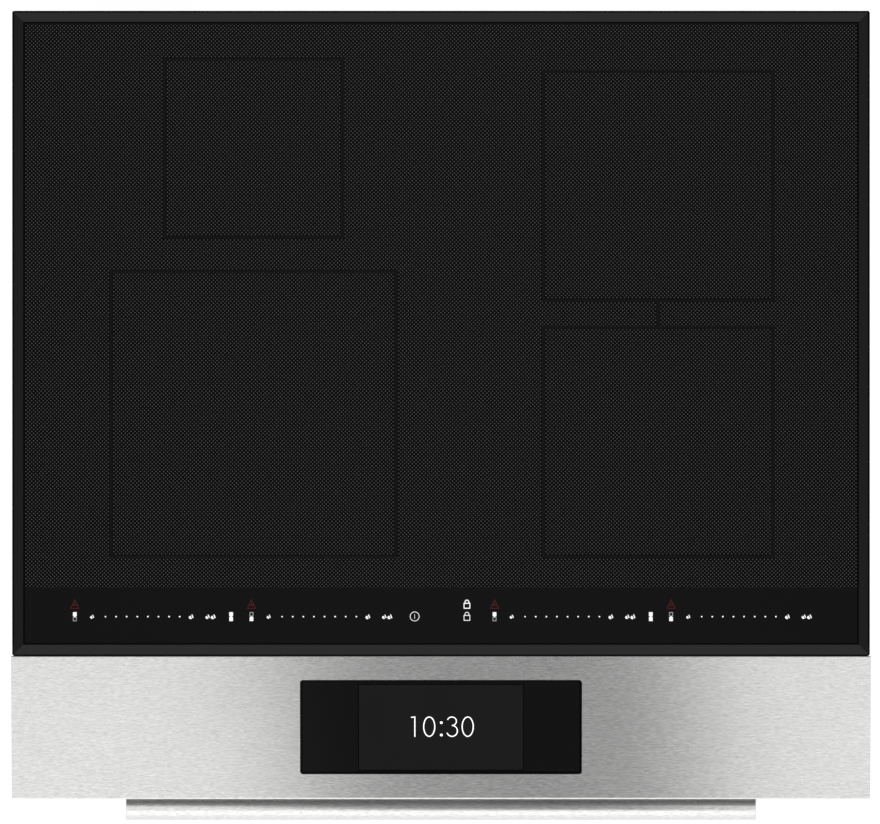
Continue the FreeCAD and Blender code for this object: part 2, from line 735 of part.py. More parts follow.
# The apron, the front rail and what holds it


def front_apron():
    """Upright sheet behind the rail with a foot flange that stands on the base pan."""
    body = new_body("front_apron")
    profile = sketch(body, "YZ_Plane")
    inner = f"{APRON_FRONT} + gauge"
    top = f"{LIP_LOW} + flange_tall"
    polygon(
        profile,
        (
            (APRON_FRONT, "gauge"),
            (f"{APRON_FRONT} + flange_tall", "gauge"),
            (f"{APRON_FRONT} + flange_tall", "gauge * 2"),
            (inner, "gauge * 2"),
            (inner, top),
            (APRON_FRONT, top),
        ),
    )
    sheet_pad = pad(body, profile, "(tray_half - gauge) * 2", symmetric=True)
    soften(body, sheet_pad, lambda e: straight_along(e, "x") and near(e, APRON_FRONT, "gauge"), "gauge")
    holes = sketch(body, "XZ_Plane")
    for side, sign in SIDES:
        for step in (-1, 1):
            across = f"{sign} * arm_out + {step} * foot_pitch / 2"
            circle(holes, across, RAIL_MIDDLE, "bolt_radius + running")
    pocket(body, holes, "overall_deep * 2", symmetric=True)
    keep(body, "front_apron")


def rail_section(body, at, long):
    """A bar with a flat top and back, a large round upper nose and softened other edges."""
    profile = sketch(body, "YZ_Plane", at)
    top = "rail_low + rail_tall"
    corners = ((RAIL_BACK, "rail_low"), (RAIL_BACK, top), (RAIL_FRONT, top), (RAIL_FRONT, "rail_low"))
    polygon(profile, corners)
    last = pad(body, profile, long)
    for y, z, radius in (
        (RAIL_FRONT, top, "rail_nose"),
        (RAIL_FRONT, "rail_low", "rail_chin"),
        (RAIL_BACK, top, "rail_heel"),
        (RAIL_BACK, "rail_low", "rail_heel"),
    ):
        last = soften(body, last, lambda e: straight_along(e, "x") and near(e, y=y, z=z), radius)
    return last


def front_rail():
    rail = new_body("front_rail")
    rail_section(rail, "-(rail_long / 2 - cap_long)", "rail_long - cap_long * 2")
    keep(rail, "front_rail")
    caps = []
    for side, sign in SIDES:
        cap = new_body(f"rail_cap_{side}")
        start = "(rail_long / 2 - cap_long)" if sign > 0 else "(-rail_long / 2)"
        last = rail_section(cap, start, "cap_long")
        outer = f"{sign} * rail_long / 2"
        soften(cap, last, lambda e: near(e, x=outer, within=0.01), "cap_edge", flat=True)
        caps.append(cap)
    keep(group("rail_end_caps", caps), "rail_end_caps")


def rail_brackets():
    """A foot against the apron and an arm out to the flat back of the rail. Returns their screws."""
    screws = []
    for side, sign in SIDES:
        body = new_body(f"rail_bracket_{side}")
        across = f"{sign} * arm_out"
        foot = sketch(body, "XZ_Plane", f"-({APRON_FRONT})")
        rectangle(foot, across, RAIL_MIDDLE, "foot_wide", "foot_tall")
        plate = pad(body, foot, "foot_thick")
        soften(body, plate, lambda e: straight_along(e, "y"), "foot_thick")
        arm = sketch(body, "XZ_Plane", f"-({APRON_FRONT})")
        rectangle(arm, across, RAIL_MIDDLE, "arm_wide", "arm_tall")
        last = pad(body, arm, f"{APRON_FRONT} - ({RAIL_BACK})")
        least = number("apron_back / 2")
        soften(body, last, lambda e: straight_along(e, "y") and e.Length > least, "foot_thick / 2")
        holes = sketch(body, "XZ_Plane", f"-({APRON_FRONT})")
        places = [f"{across} + {step} * foot_pitch / 2" for step in (-1, 1)]
        for place in places:
            circle(holes, place, RAIL_MIDDLE, "bolt_radius + running")
        pocket(body, holes, "foot_thick * 3", symmetric=True)
        keep(body, f"rail_bracket_{side}")
        start, long = f"{APRON_FRONT} - foot_thick - gauge", "foot_thick + gauge * 2"
        for i, place in enumerate(places):
            at = (place, start, RAIL_MIDDLE)
            sizes = ("bolt_head", "bolt_head_tall", "bolt_radius", long)
            screws.append(screw(f"rail_screw_{side}_{i}", at, *sizes, "y", head_first=False))
    return screws


# The chassis


def slots(name, across, along, low, sizes, step, count):
    """A row of equal blocks along Y, to cut slots with."""
    shifts = [f"({along}) + {step} * ({i} - {(count - 1) / 2})" for i in range(count)]
    return [block(f"{name}_{i}", across, shift, low, *sizes) for i, shift in enumerate(shifts)]


def base_pan():
    """A tray with folded edges, intake slots under the fans and stiffening ribs pressed upwards."""
    front, rear = f"({APRON_FRONT} + gauge)", "(chassis_rear - gauge)"
    long = f"chassis_rear - {APRON_FRONT}"
    middle = f"(chassis_rear + {APRON_FRONT}) / 2"
    floor = block("pan_floor", "0", middle, "0", "tray_half * 2", long, "gauge")
    fold_along = f"({rear} + {front} + flange_tall) / 2"
    fold_deep = f"{rear} - {front} - flange_tall - gauge"
    folds = []
    for side, sign in SIDES:
        across = f"{sign} * (tray_half - gauge * 1.5)"
        sizes = ("gauge", fold_deep, "flange_tall")
        folds.append(block(f"pan_fold_{side}", across, fold_along, "gauge", *sizes))
    rib_wide = "(tray_half - gauge - rib_pitch) * 2"
    ribs = [
        block(f"pan_rib_{i}", "0", f"rib_first + {i} * rib_pitch", "gauge", rib_wide, "rib_wide", "gauge")
        for i in range(6)
    ]
    tray = fuse("pan_tray", [floor, *folds, *ribs])
    openings = []
    for side, sign in SIDES:
        sizes, step = ("intake_long", "intake_wide", "gauge * 4"), "intake_wide * 2"
        across = f"{sign} * fan_out"
        openings += slots(f"intake_{side}", across, "fan_along", "-gauge", sizes, step, INTAKE_SLOTS)
    keep(cut("base_pan", tray, openings), "base_pan")


def side_panels():
    """Z-shaped walls: upper wall, step under the worktop, lower wall, flange under the glass."""
    for side, sign in SIDES:
        body = new_body(f"side_panel_{side}")
        profile = sketch(body, "XZ_Plane", "-chassis_rear + gauge")
        outer, inner = f"{sign} * chassis_half", f"{sign} * (chassis_half - gauge)"
        low_outer, low_inner = f"{sign} * tray_half", f"{sign} * (tray_half - gauge)"
        flange = f"{sign} * (chassis_half - flange_wide)"
        polygon(
            profile,
            (
                (flange, FLANGE_TOP),
                (outer, FLANGE_TOP),
                (outer, "ledge_up"),
                (low_outer, "ledge_up"),
                (low_outer, "gauge"),
                (low_inner, "gauge"),
                (low_inner, "ledge_up + gauge"),
                (inner, "ledge_up + gauge"),
                (inner, f"{FLANGE_TOP} - gauge"),
                (flange, f"{FLANGE_TOP} - gauge"),
            ),
        )
        wall = pad(body, profile, f"chassis_rear - gauge - ({APRON_FRONT} + gauge)")
        bends = (FLANGE_TOP, "ledge_up")
        soften(
            body,
            wall,
            lambda e: straight_along(e, "y") and any(near(e, x=outer, z=z) for z in bends),
            "bend_radius / 2",
        )
        under = sketch(body, "YZ_Plane")
        start, end = f"({GLASS_FRONT} + strip_start - room)", f"({APRON_FRONT} - flange_tall)"
        clear = f"({FLANGE_TOP} - flange_tall)"
        end_clear = f"{clear} - ({start} - {end}) * slope_drop / {SLOPE_RUN}"
        polygon(under, ((start, clear), (start, "overall_tall"), (end, "overall_tall"), (end, end_clear)))
        pocket(body, under, "overall_wide * 2", symmetric=True)
        vents = sketch(body, "YZ_Plane", f"{sign} * chassis_half")
        for i in range(VENT_SLOTS):
            along = f"vent_first + {i} * vent_pitch"
            rectangle(vents, along, "ledge_up + vent_up", "vent_wide", "vent_tall")
        pocket(body, vents, "gauge * 4", symmetric=True)
        holes = sketch(body, "YZ_Plane", f"{sign} * tray_half")
        for step in (-1, 1):
            circle(holes, f"{step} * fixing_pitch_along / 2", "fixing_up", "fixing_radius")
        for along in SIDE_SCREWS:
            circle(holes, along, SCREW_UP, "screw_radius + running")
        pocket(body, holes, "gauge * 4", symmetric=True)
        pivots = sketch(body, "XY_Plane", "ledge_up")
        for place, along in CLAMPS:
            circle(pivots, f"{sign} * clamp_out", along, "clamp_screw + running")
        pocket(body, pivots, "gauge * 4", symmetric=True)
        keep(body, f"side_panel_{side}")


def rear_panel():
    """Stepped wall with a vent opening, the terminal box pressed in, a cable hole and a top flange."""
    body = new_body("rear_panel")
    face = sketch(body, "XZ_Plane", "-chassis_rear")
    polygon(
        face,
        (
            ("-tray_half", "gauge"),
            ("tray_half", "gauge"),
            ("tray_half", "ledge_up"),
            ("chassis_half", "ledge_up"),
            ("chassis_half", FLANGE_TOP),
            ("-chassis_half", FLANGE_TOP),
            ("-chassis_half", "ledge_up"),
            ("-tray_half", "ledge_up"),
        ),
    )
    pad(body, face, "gauge")
    flange = sketch(body, "XY_Plane", FLANGE_TOP)
    wide = "(chassis_half - flange_wide) * 2 - gap * 2"
    rectangle(flange, "0", "chassis_rear - flange_wide / 2", wide, "flange_wide")
    pad(body, flange, "gauge", back=True)
    box_wide, box_tall, box_up = "box_right - box_left", "box_high - box_low", "(box_low + box_high) / 2"
    box = sketch(body, "XZ_Plane", "-chassis_rear")
    rectangle(box, BOX_MIDDLE, box_up, box_wide, box_tall)
    pad(body, box, "box_deep")
    recess = sketch(body, "XZ_Plane", "-chassis_rear")
    rectangle(recess, BOX_MIDDLE, box_up, f"{box_wide} - gauge * 2", f"{box_tall} - gauge * 2")
    pocket(body, recess, "box_deep - gauge", back=True)
    holes = sketch(body, "XZ_Plane", "-chassis_rear")
    circle(holes, "entry_along", "entry_up", "gland_radius - gland_shoulder")
    for across in REAR_SCREWS:
        circle(holes, across, SCREW_UP, "screw_radius + running")
    rectangle(holes, "grille_across", "grille_up", "grille_wide", "grille_tall")
    pocket(body, holes, "gauge * 4", symmetric=True)
    keep(body, "rear_panel")


def rear_vent_grille():
    """A frame over the rear opening with level slats and three posts behind them."""
    along = "chassis_rear + grille_thick / 2"
    frame_wide, frame_tall = "grille_wide + grille_rim * 2", "grille_tall + grille_rim * 2"
    frame_low = f"grille_up - ({frame_tall}) / 2"
    outer = block("grille_frame", "grille_across", along, frame_low, frame_wide, "grille_thick", frame_tall)
    open_wide, open_tall = "grille_wide - gauge * 2", "grille_tall - gauge * 2"
    open_low = f"grille_up - ({open_tall}) / 2"
    opening = block(
        "grille_opening", "grille_across", along, open_low, open_wide, "grille_thick * 4", open_tall
    )
    ring = cut("grille_ring", outer, [opening])
    slats = []
    for i in range(6):
        low = f"grille_up + ({i} - 2.5) * slat_pitch - slat_thick / 2"
        sizes = ("grille_wide - gauge", "grille_thick", "slat_thick")
        slats.append(block(f"grille_slat_{i}", "grille_across", along, low, *sizes))
    posts = []
    for i in range(3):
        across = f"grille_across + ({i} - 1) * mullion_pitch"
        sizes = ("mullion_wide", "slat_thick", "grille_tall")
        low = "grille_up - grille_tall / 2"
        posts.append(block(f"grille_post_{i}", across, "chassis_rear + slat_thick / 2", low, *sizes))
    keep(fuse("rear_vent_grille", [ring, *slats, *posts]), "rear_vent_grille")


def panel_screws(extra):
    """Pan-head screws through the side and rear walls, together with the other screws given."""
    items = list(extra)
    for side, sign in SIDES:
        start = "tray_half - gauge" if sign > 0 else "-tray_half - head_tall"
        for i, along in enumerate(SIDE_SCREWS):
            sizes = ("screw_head", "head_tall", "screw_radius", "gauge")
            at = (start, along, SCREW_UP)
            items.append(screw(f"side_screw_{side}_{i}", at, *sizes, "x", head_first=sign < 0))
    for i, across in enumerate(REAR_SCREWS):
        sizes = ("screw_head", "head_tall", "screw_radius", "rear_shank")
        at = (across, "chassis_rear - rear_shank", SCREW_UP)
        items.append(screw(f"rear_screw_{i}", at, *sizes, "y", head_first=False))
    keep(group("chassis_screws", items), "chassis_screws")


# The coils


def coil_deck():
    """A shelf of sheet with holes for each coil's leads, standing on folded edges."""
    centre, deep = "(deck_rear + deck_front) / 2", "deck_rear - deck_front"
    shelf = block("deck_sheet", "0", centre, "deck_up", "deck_half * 2", deep, "gauge")
    fold_low = "ledge_up + gauge"
    folds = []
    for side, sign in SIDES:
        across = f"{sign} * (deck_half - gauge / 2)"
        fold_tall = f"deck_up - ({fold_low})"
        folds.append(block(f"deck_fold_{side}", across, centre, fold_low, "gauge", deep, fold_tall))
    holes = []
    for name, across, along, radius in ZONES:
        away = radius * LEAD_HOLE_SHARE
        for turn in (45, 135, 225, 315):
            x = across + away * math.cos(math.radians(turn))
            y = along + away * math.sin(math.radians(turn))
            holes.append(rod(f"deck_hole_{name}_{turn}", x, y, "deck_up - gauge", "lead_hole", "gauge * 3"))
    keep(cut("coil_deck", fuse("deck_folded", [shelf, *folds]), holes), "coil_deck")


def coil_carrier(name, across, along, radius):
    """A spoked disc with a guide tube for the sensor and three posts down to the deck."""
    body = new_body(f"coil_carrier_{name}")
    plan = sketch(body, "XY_Plane", "coil_low")
    circle(plan, "0", "0", f"{radius} + carrier_rim")
    pad(body, plan, "carrier_thick")
    tube = sketch(body, "XY_Plane", "guide_low")
    circle(tube, "0", "0", "guide_radius")
    pad(body, tube, "coil_low - guide_low")
    post = sketch(body, "XY_Plane", DECK_TOP)
    circle(post, "post_ring", "0", "post_radius")
    one = pad(body, post, f"coil_low - {DECK_TOP}")
    repeat_round(body, one, post, 3)
    bore = sketch(body, "XY_Plane", DECK_TOP)
    circle(bore, "0", "0", "stem_radius + gap")
    pocket(body, bore, "overall_tall", back=True)
    window = sketch(body, "XY_Plane", "coil_low")
    inner, outer = "post_ring + post_radius * 2", f"{radius} - carrier_rim"
    narrow, wide = "carrier_rim * 1.5", "carrier_rim * 3"
    polygon(window, ((inner, f"-{narrow}"), (outer, f"-{wide}"), (outer, wide), (inner, narrow)))
    opened = pocket(body, window, "carrier_thick * 2", back=True)
    repeat_round(body, opened, window, SPOKES)
    bind(body, "Placement.Base.x", across)
    bind(body, "Placement.Base.y", along)
    keep(body, f"coil_carrier_{name}")


def coil_winding(name, across, along, radius):
    """Flat coil: concentric turns standing on a joined foot."""
    body = new_body(f"coil_winding_{name}")
    half = sketch(body, "XZ_Plane")
    low, foot, top = WINDING_LOW, f"{WINDING_LOW} + winding_base", f"{WINDING_LOW} + winding_thick"
    turns = int((radius - number("winding_eye")) / number("turn_pitch"))
    start = f"({radius} - {turns} * turn_pitch)"
    outline = [(f"{start} + {turns} * turn_pitch", low), (start, low)]
    for i in range(turns):
        inner, outer = f"{start} + {i} * turn_pitch", f"{start} + {i + 1} * turn_pitch"
        if i:
            outline.append((inner, foot))
        outline.append((f"{inner} + turn_gap / 2", top))
        outline.append((f"{outer} - turn_gap / 2", top))
    polygon(half, outline)
    revolve(body, half)
    bind(body, "Placement.Base.x", across)
    bind(body, "Placement.Base.y", along)
    keep(body, f"coil_winding_{name}")


def ferrites():
    """Bars under each carrier, pointing at the coil's centre between the spoke windows."""
    bars = []
    inner = number("post_ring + post_radius + room * 2")
    wide, low = number("ferrite_wide"), number("coil_low - ferrite_thick - fit")
    for name, across, along, radius in ZONES:
        for i in range(SPOKES):
            bar = doc.addObject("Part::Box", f"ferrite_{name}_{i}")
            bar.Length = radius - inner
            bind(bar, "Width", "ferrite_wide")
            bind(bar, "Height", "ferrite_thick")
            spin = FreeCAD.Rotation(FreeCAD.Vector(0, 0, 1), 360 / SPOKES * (i + 0.5))
            corner = spin.multVec(FreeCAD.Vector(inner, -wide / 2, 0))
            bar.Placement = FreeCAD.Placement(FreeCAD.Vector(across, along, low) + corner, spin)
            bars.append(bar)
    keep(group("ferrite_bars", bars), "ferrite_bars")


def mica_sheets():
    """A disc between each coil and the glass, with an eye for the sensor."""
    sheets = []
    for name, across, along, radius in ZONES:
        disc = rod(f"mica_disc_{name}", across, along, MICA_LOW, f"{radius} + mica_rim", "mica_thick")
        eye_low, eye_tall = f"{MICA_LOW} - mica_thick", "mica_thick * 3"
        eye = rod(f"mica_eye_{name}", across, along, eye_low, "guide_radius", eye_tall)
        sheets.append(cut(f"mica_{name}", disc, [eye]))
    keep(group("mica_sheets", sheets), "mica_sheets")


def coil(radius, pitch, tall, wire):
    """A round wire wound up in short straight lengths, mitred where they meet."""
    count = round(tall / pitch * COIL_SIDES)
    turn = 2 * math.pi * tall / pitch / count
    points = [
        FreeCAD.Vector(radius * math.cos(turn * i), radius * math.sin(turn * i), tall * i / count)
        for i in range(count + 1)
    ]
    sweep = Part.BRepOffsetAPI.MakePipeShell(Part.makePolygon(points))
    sweep.setTransitionMode(MITRED)
    sweep.add(Part.Wire(Part.makeCircle(wire / 2, points[0], points[1] - points[0])))
    sweep.build()
    sweep.makeSolid()
    return sweep.shape()


def sensor(name, across, along):
    """A capped plunger with a retaining collar, and the spring between its collar and the deck."""
    body = new_body(f"sensor_plunger_{name}")
    half = sketch(body, "XZ_Plane")
    top = f"{GLASS_UNDER} - gap"
    collar_top = "collar_low + collar_tall"
    polygon(
        half,
        (
            ("0", "collar_low"),
            ("collar_radius", "collar_low"),
            ("collar_radius", collar_top),
            ("stem_radius", collar_top),
            ("stem_radius", f"{top} - tip_round"),
            ("stem_radius - tip_round", top),
            ("0", top),
        ),
    )
    revolve(body, half)
    bind(body, "Placement.Base.x", across)
    bind(body, "Placement.Base.y", along)
    keep(body, f"sensor_plunger_{name}")

    low = number(f"{DECK_TOP} + spring_wire / 2 + fit")
    high = number("collar_low - spring_wire / 2 - fit")
    spring = doc.addObject("Part::Feature", f"sensor_spring_{name}")
    spring.Shape = coil(number("spring_radius"), number("spring_pitch"), high - low, number("spring_wire"))
    spring.Placement = FreeCAD.Placement(FreeCAD.Vector(across, along, low), FreeCAD.Rotation())
    keep(spring, f"sensor_spring_{name}")


# The electronics


def standoffs(name, across, along, wide, long):
    """A standoff under each corner of a board."""
    dx, dy = f"(({wide}) / 2 - standoff_inset)", f"(({long}) / 2 - standoff_inset)"
    items = []
    for i, (right, back) in enumerate(CORNERS):
        x, y = f"({across}) + {right} * {dx}", f"({along}) + {back} * {dy}"
        items.append(rod(f"{name}_{i}", x, y, PAN_TOP, "standoff_radius", "board_up"))
    return items


def inverter(side, sign):
    """Power board on the tray with its components and a finned heatsink in the fan's air."""
    across, along = f"{sign} * inverter_out", "inverter_along"
    low = f"{BOARD_TOP} + fit"
    board = block(
        f"inverter_pcb_{side}", across, along, BOARD_LOW, "inverter_wide", "inverter_long", "board_thick"
    )
    stands = standoffs(f"stand_{side}", across, along, "inverter_wide", "inverter_long")
    keep(fuse(f"inverter_board_{side}", [board, *stands]), f"inverter_board_{side}")

    parts = []
    for i in range(4):
        x, y = f"{across} - component_out + {i} * capacitor_pitch", f"{along} - capacitor_row"
        parts.append(rod(f"cap_{side}_{i}", x, y, low, "capacitor_radius", "capacitor_tall"))
    for i in range(3):
        x, y = f"{across} - component_out", f"{along} - relay_row + {i} * relay_pitch"
        sizes = ("relay_wide", "relay_deep", "relay_tall")
        parts.append(block(f"relay_{side}_{i}", x, y, low, *sizes))
    for i in range(2):
        x, y = f"{across} + component_out", f"{along} + film_row + {i} * film_pitch"
        parts.append(block(f"film_{side}_{i}", x, y, low, "film_wide", "film_deep", "film_tall"))
    choke = doc.addObject("Part::Torus", f"choke_{side}")
    bind(choke, "Radius1", "choke_ring")
    bind(choke, "Radius2", "choke_wire")
    bind(choke, "Placement.Base.x", f"{across} + component_out")
    bind(choke, "Placement.Base.y", f"{along} - film_pitch")
    bind(choke, "Placement.Base.z", f"{low} + choke_wire")
    parts.append(choke)
    keep(group(f"power_components_{side}", parts), f"power_components_{side}")

    sink = new_body(f"heatsink_{side}")
    comb = sketch(sink, "XZ_Plane", f"-({along} + inverter_long / 2 - standoff_inset)")
    left = f"({across} - sink_wide / 2)"
    outline = [(f"{left} + sink_wide", low), (left, low)]
    fins = round(number("(sink_wide - fin_thick) / fin_pitch")) + 1
    for i in range(fins):
        fin = f"{left} + {i} * fin_pitch"
        outline += [(fin, f"{low} + sink_tall"), (f"{fin} + fin_thick", f"{low} + sink_tall")]
        if i < fins - 1:
            root = f"{low} + sink_base"
            outline += [(f"{fin} + fin_thick", root), (f"{fin} + fin_pitch", root)]
    polygon(comb, outline)
    pad(sink, comb, "sink_long")
    keep(sink, f"heatsink_{side}")


def boards():
    """The mains filter on the tray, and the touch board and its light guide under the glass."""
    at = ("filter_across", "filter_along")
    filter_pcb = block("filter_pcb", *at, BOARD_LOW, "filter_wide", "filter_long", "board_thick")
    chokes = []
    for i in range(2):
        along = f"filter_along - filter_choke_row + {i} * filter_choke_pitch"
        sizes = ("filter_choke_radius", "filter_choke_tall")
        chokes.append(rod(f"filter_choke_{i}", "filter_across", along, BOARD_TOP, *sizes))
    stands = standoffs("filter_stand", *at, "filter_wide", "filter_long")
    keep(fuse("filter_board", [filter_pcb, *chokes, *stands]), "filter_board")

    along, low = "touch_along", f"{GLASS_UNDER} - touch_below"
    touch = block("touch_pcb", "0", along, low, "touch_wide", "touch_deep", "board_thick")
    chips = []
    for i in range(7):
        across, under = f"({i} - 3) * touch_chip_pitch", f"{low} - touch_chip_tall"
        sizes = ("touch_chip", "touch_chip", "touch_chip_tall")
        chips.append(block(f"touch_chip_{i}", across, along, under, *sizes))
    keep(fuse("touch_board", [touch, *chips]), "touch_board")

    guide_low = f"{low} + board_thick + fit"
    guide = block("guide_bar", "0", along, guide_low, "touch_wide", "guide_deep", "guide_thick")
    cups = []
    for i in range(25):
        across, floor = f"({i} - 12) * cup_pitch", f"{guide_low} + cup_floor"
        cups.append(block(f"guide_cup_{i}", across, along, floor, "cup_wide", "cup_deep", "guide_thick"))
    keep(cut("touch_light_guide", guide, cups), "touch_light_guide")


# The fans


def fan(side, sign):
    """A square frame with a round bore and a spindle on three arms, and the rotor that turns on it."""
    across, low = f"{sign} * fan_out", PAN_TOP
    frame = new_body(f"fan_housing_{side}")
    plan = sketch(frame, "XY_Plane", low)
    rectangle(plan, "0", "0", "fan_half * 2", "fan_half * 2")
    solid = pad(frame, plan, "fan_tall")
    soften(frame, solid, lambda e: straight_along(e, "z"), "bend_radius * 2")
    bore = sketch(frame, "XY_Plane", "0")
    circle(bore, "0", "0", "fan_bore")
    pocket(frame, bore, "overall_tall", back=True)
    arm = sketch(frame, "XY_Plane", low)
    rectangle(arm, "fan_bore / 2", "0", "fan_bore + spoke_tall", "spoke_wide")
    one = pad(frame, arm, "spoke_tall")
    repeat_round(frame, one, arm, 3)
    spindle = sketch(frame, "XY_Plane", low)
    circle(spindle, "0", "0", "spindle_radius")
    pad(frame, spindle, "fan_tall - spindle_short")
    bind(frame, "Placement.Base.x", across)
    bind(frame, "Placement.Base.y", "fan_along")
    keep(frame, f"fan_housing_{side}")

    rotor = new_body(f"fan_rotor_{side}")
    hub_low = f"({low} + hub_up)"
    hub = sketch(rotor, "XY_Plane", hub_low)
    circle(hub, "0", "0", "hub_radius")
    pad(rotor, hub, "hub_tall")
    blade = sketch(rotor, "YZ_Plane", "hub_radius / 2")
    middle = f"({hub_low} + hub_tall / 2)"
    bottom, top = f"{middle} - blade_rise", f"{middle} + blade_rise"
    polygon(
        blade,
        (
            ("-blade_reach", bottom),
            ("-blade_reach + blade_thick", bottom),
            ("blade_reach", top),
            ("blade_reach - blade_thick", top),
        ),
    )
    one = pad(rotor, blade, "blade_radius - hub_radius / 2 - room")
    repeat_round(rotor, one, hub, 7)
    eye = sketch(rotor, "XY_Plane", "0")
    circle(eye, "0", "0", "hub_bore")
    pocket(rotor, eye, "overall_tall", back=True)
    bind(rotor, "Placement.Base.x", across)
    bind(rotor, "Placement.Base.y", "fan_along")
    keep(rotor, f"fan_rotor_{side}")


# The terminal box and the cable entry


def terminal_block():
    """The block and its screws, on the back wall of the terminal box."""
    rear_wall = "(chassis_rear - box_deep + gauge + fit)"
    low = "box_low + block_up"
    along = f"{rear_wall} + block_deep / 2"
    body = block("terminal_body", BOX_MIDDLE, along, low, "block_wide", "block_deep", "block_tall")
    lugs = []
    for i in range(5):
        across = f"{BOX_MIDDLE} + ({i} - 2) * lug_pitch"
        face, up = f"{rear_wall} + block_deep", f"{low} + block_tall / 2"
        lugs.append(rod(f"terminal_lug_{i}", across, face, up, "lug_radius", "lug_tall", "y"))
    keep(fuse("terminal_block", [body, *lugs]), "terminal_block")


def terminal_cover():
    """A ribbed flap over the terminal box, its knuckles on a pin between two ears of the rear wall."""
    hinge_up = "(box_high + knuckle_radius + room)"
    hinge_along = "(chassis_rear + knuckle_radius + gap)"
    wide, low = "(box_right - box_left + cover_side * 2)", "(box_low - cover_below)"
    left = f"{BOX_MIDDLE} - {wide} / 2"
    leaf_along = "chassis_rear + gap + cover_thick / 2"
    leaf = block("cover_leaf", BOX_MIDDLE, leaf_along, low, wide, "cover_thick", f"{hinge_up} - {low}")
    knuckle = rod("cover_knuckle", left, hinge_along, hinge_up, "knuckle_radius", wide, "x")
    ribs = []
    for i in range(3):
        along = "chassis_rear + gap + cover_thick + rib_proud"
        up = f"box_low + cover_below + {i} * cover_rib_pitch"
        sizes = (f"{wide} - cover_rib_pitch * 2", "slat_thick", "cover_rib")
        ribs.append(block(f"cover_rib_{i}", BOX_MIDDLE, along, up, *sizes))
    solid = fuse("cover_solid", [leaf, knuckle, *ribs])
    room, room_low = "knuckle_radius * 4", f"{hinge_up} - knuckle_radius * 2"
    bore_left, bore_radius = f"{BOX_MIDDLE} - {wide}", "hinge_pin_radius + running"
    cutters = [rod("cover_bore", bore_left, hinge_along, hinge_up, bore_radius, f"{wide} * 2", "x")]
    ears = []
    for side, sign in SIDES:
        across = f"{BOX_MIDDLE} + {sign} * ear_out"
        sizes = ("ear_wide + room", room, "knuckle_radius * 3.5")
        cutters.append(block(f"ear_room_{side}", across, hinge_along, room_low, *sizes))
        deep = "knuckle_radius * 2 + gap"
        along = f"chassis_rear + ({deep}) / 2"
        up = f"{hinge_up} - knuckle_radius"
        ears.append(block(f"hinge_ear_{side}", across, along, up, "ear_wide", deep, "knuckle_radius * 2"))
    keep(cut("terminal_cover", solid, [fuse("cover_cutters", cutters)]), "terminal_cover")
    pin = rod("hinge_pin", left, hinge_along, hinge_up, "hinge_pin_radius", wide, "x")
    keep(fuse("cover_hinge", [pin, *ears]), "cover_hinge")


def cable_gland():
    """A flanged bush through the rear wall with a nut inside, bored for the mains lead."""
    at, inside = ("entry_along", "chassis_rear", "entry_up"), "chassis_rear - gland_neck"
    neck_radius = "gland_radius - gland_shoulder - fit"
    flange = rod("gland_flange_ring", *at, "gland_radius", "gland_flange", "y")
    nose_start, nose_long = "chassis_rear + gland_flange", "gland_out - gland_flange"
    nose_radius = "gland_radius - gland_step"
    nose = rod("gland_nose", "entry_along", nose_start, "entry_up", nose_radius, nose_long, "y")
    neck = rod("gland_neck_tube", "entry_along", inside, "entry_up", neck_radius, "gland_neck", "y")
    nut = rod("gland_nut_ring", "entry_along", inside, "entry_up", "gland_radius", "gland_nut", "y")
    bore_start, bore_long = f"{inside} - gland_nut", "gland_neck * 6"
    bore = rod("gland_bore", "entry_along", bore_start, "entry_up", "entry_radius", bore_long, "y")
    keep(cut("cable_gland", fuse("gland_solid", [flange, nose, neck, nut]), [bore]), "cable_gland")


# The hold-down clamps


def hold_down_clamps():
    """Flat arms with turned-up tips on screws under the steps of the side walls. Returns the screws."""
    screws = []
    for side, sign in SIDES:
        for place, along in CLAMPS:
            name = f"{side}_{place}"
            clamp = new_body(f"clamp_{name}")
            plan = sketch(clamp, "XY_Plane", "clamp_low")
            rectangle(plan, "0", "clamp_long / 2 - clamp_wide / 2", "clamp_wide", "clamp_long")
            arm = pad(clamp, plan, "clamp_thick")
            soften(
                clamp,
                arm,
                lambda e: straight_along(e, "z") and e.CenterOfMass.y < 0,
                "clamp_wide / 2 - fit",
            )
            tip = sketch(clamp, "XY_Plane", "clamp_low + clamp_thick")
            rectangle(tip, "0", "clamp_long - clamp_wide / 2 - tip_in", "clamp_wide", "tip_deep")
            pad(clamp, tip, "tip_tall")
            hole = sketch(clamp, "XY_Plane", "0")
            circle(hole, "0", "0", "clamp_screw + running")
            pocket(clamp, hole, "overall_tall", back=True)
            centre = f"{sign} * clamp_out"
            bind(clamp, "Placement.Base.x", centre)
            bind(clamp, "Placement.Base.y", along)
            keep(clamp, f"clamp_{name}")
            at = (centre, along, "clamp_low - clamp_head_tall - gap")
            long = "ledge_up + gauge + clamp_stud - clamp_low + gap"
            sizes = ("clamp_head", "clamp_head_tall", "clamp_screw", long)
            screws.append(screw(f"clamp_screw_{name}", at, *sizes, "z", head_first=True))
    return screws


# Wiring


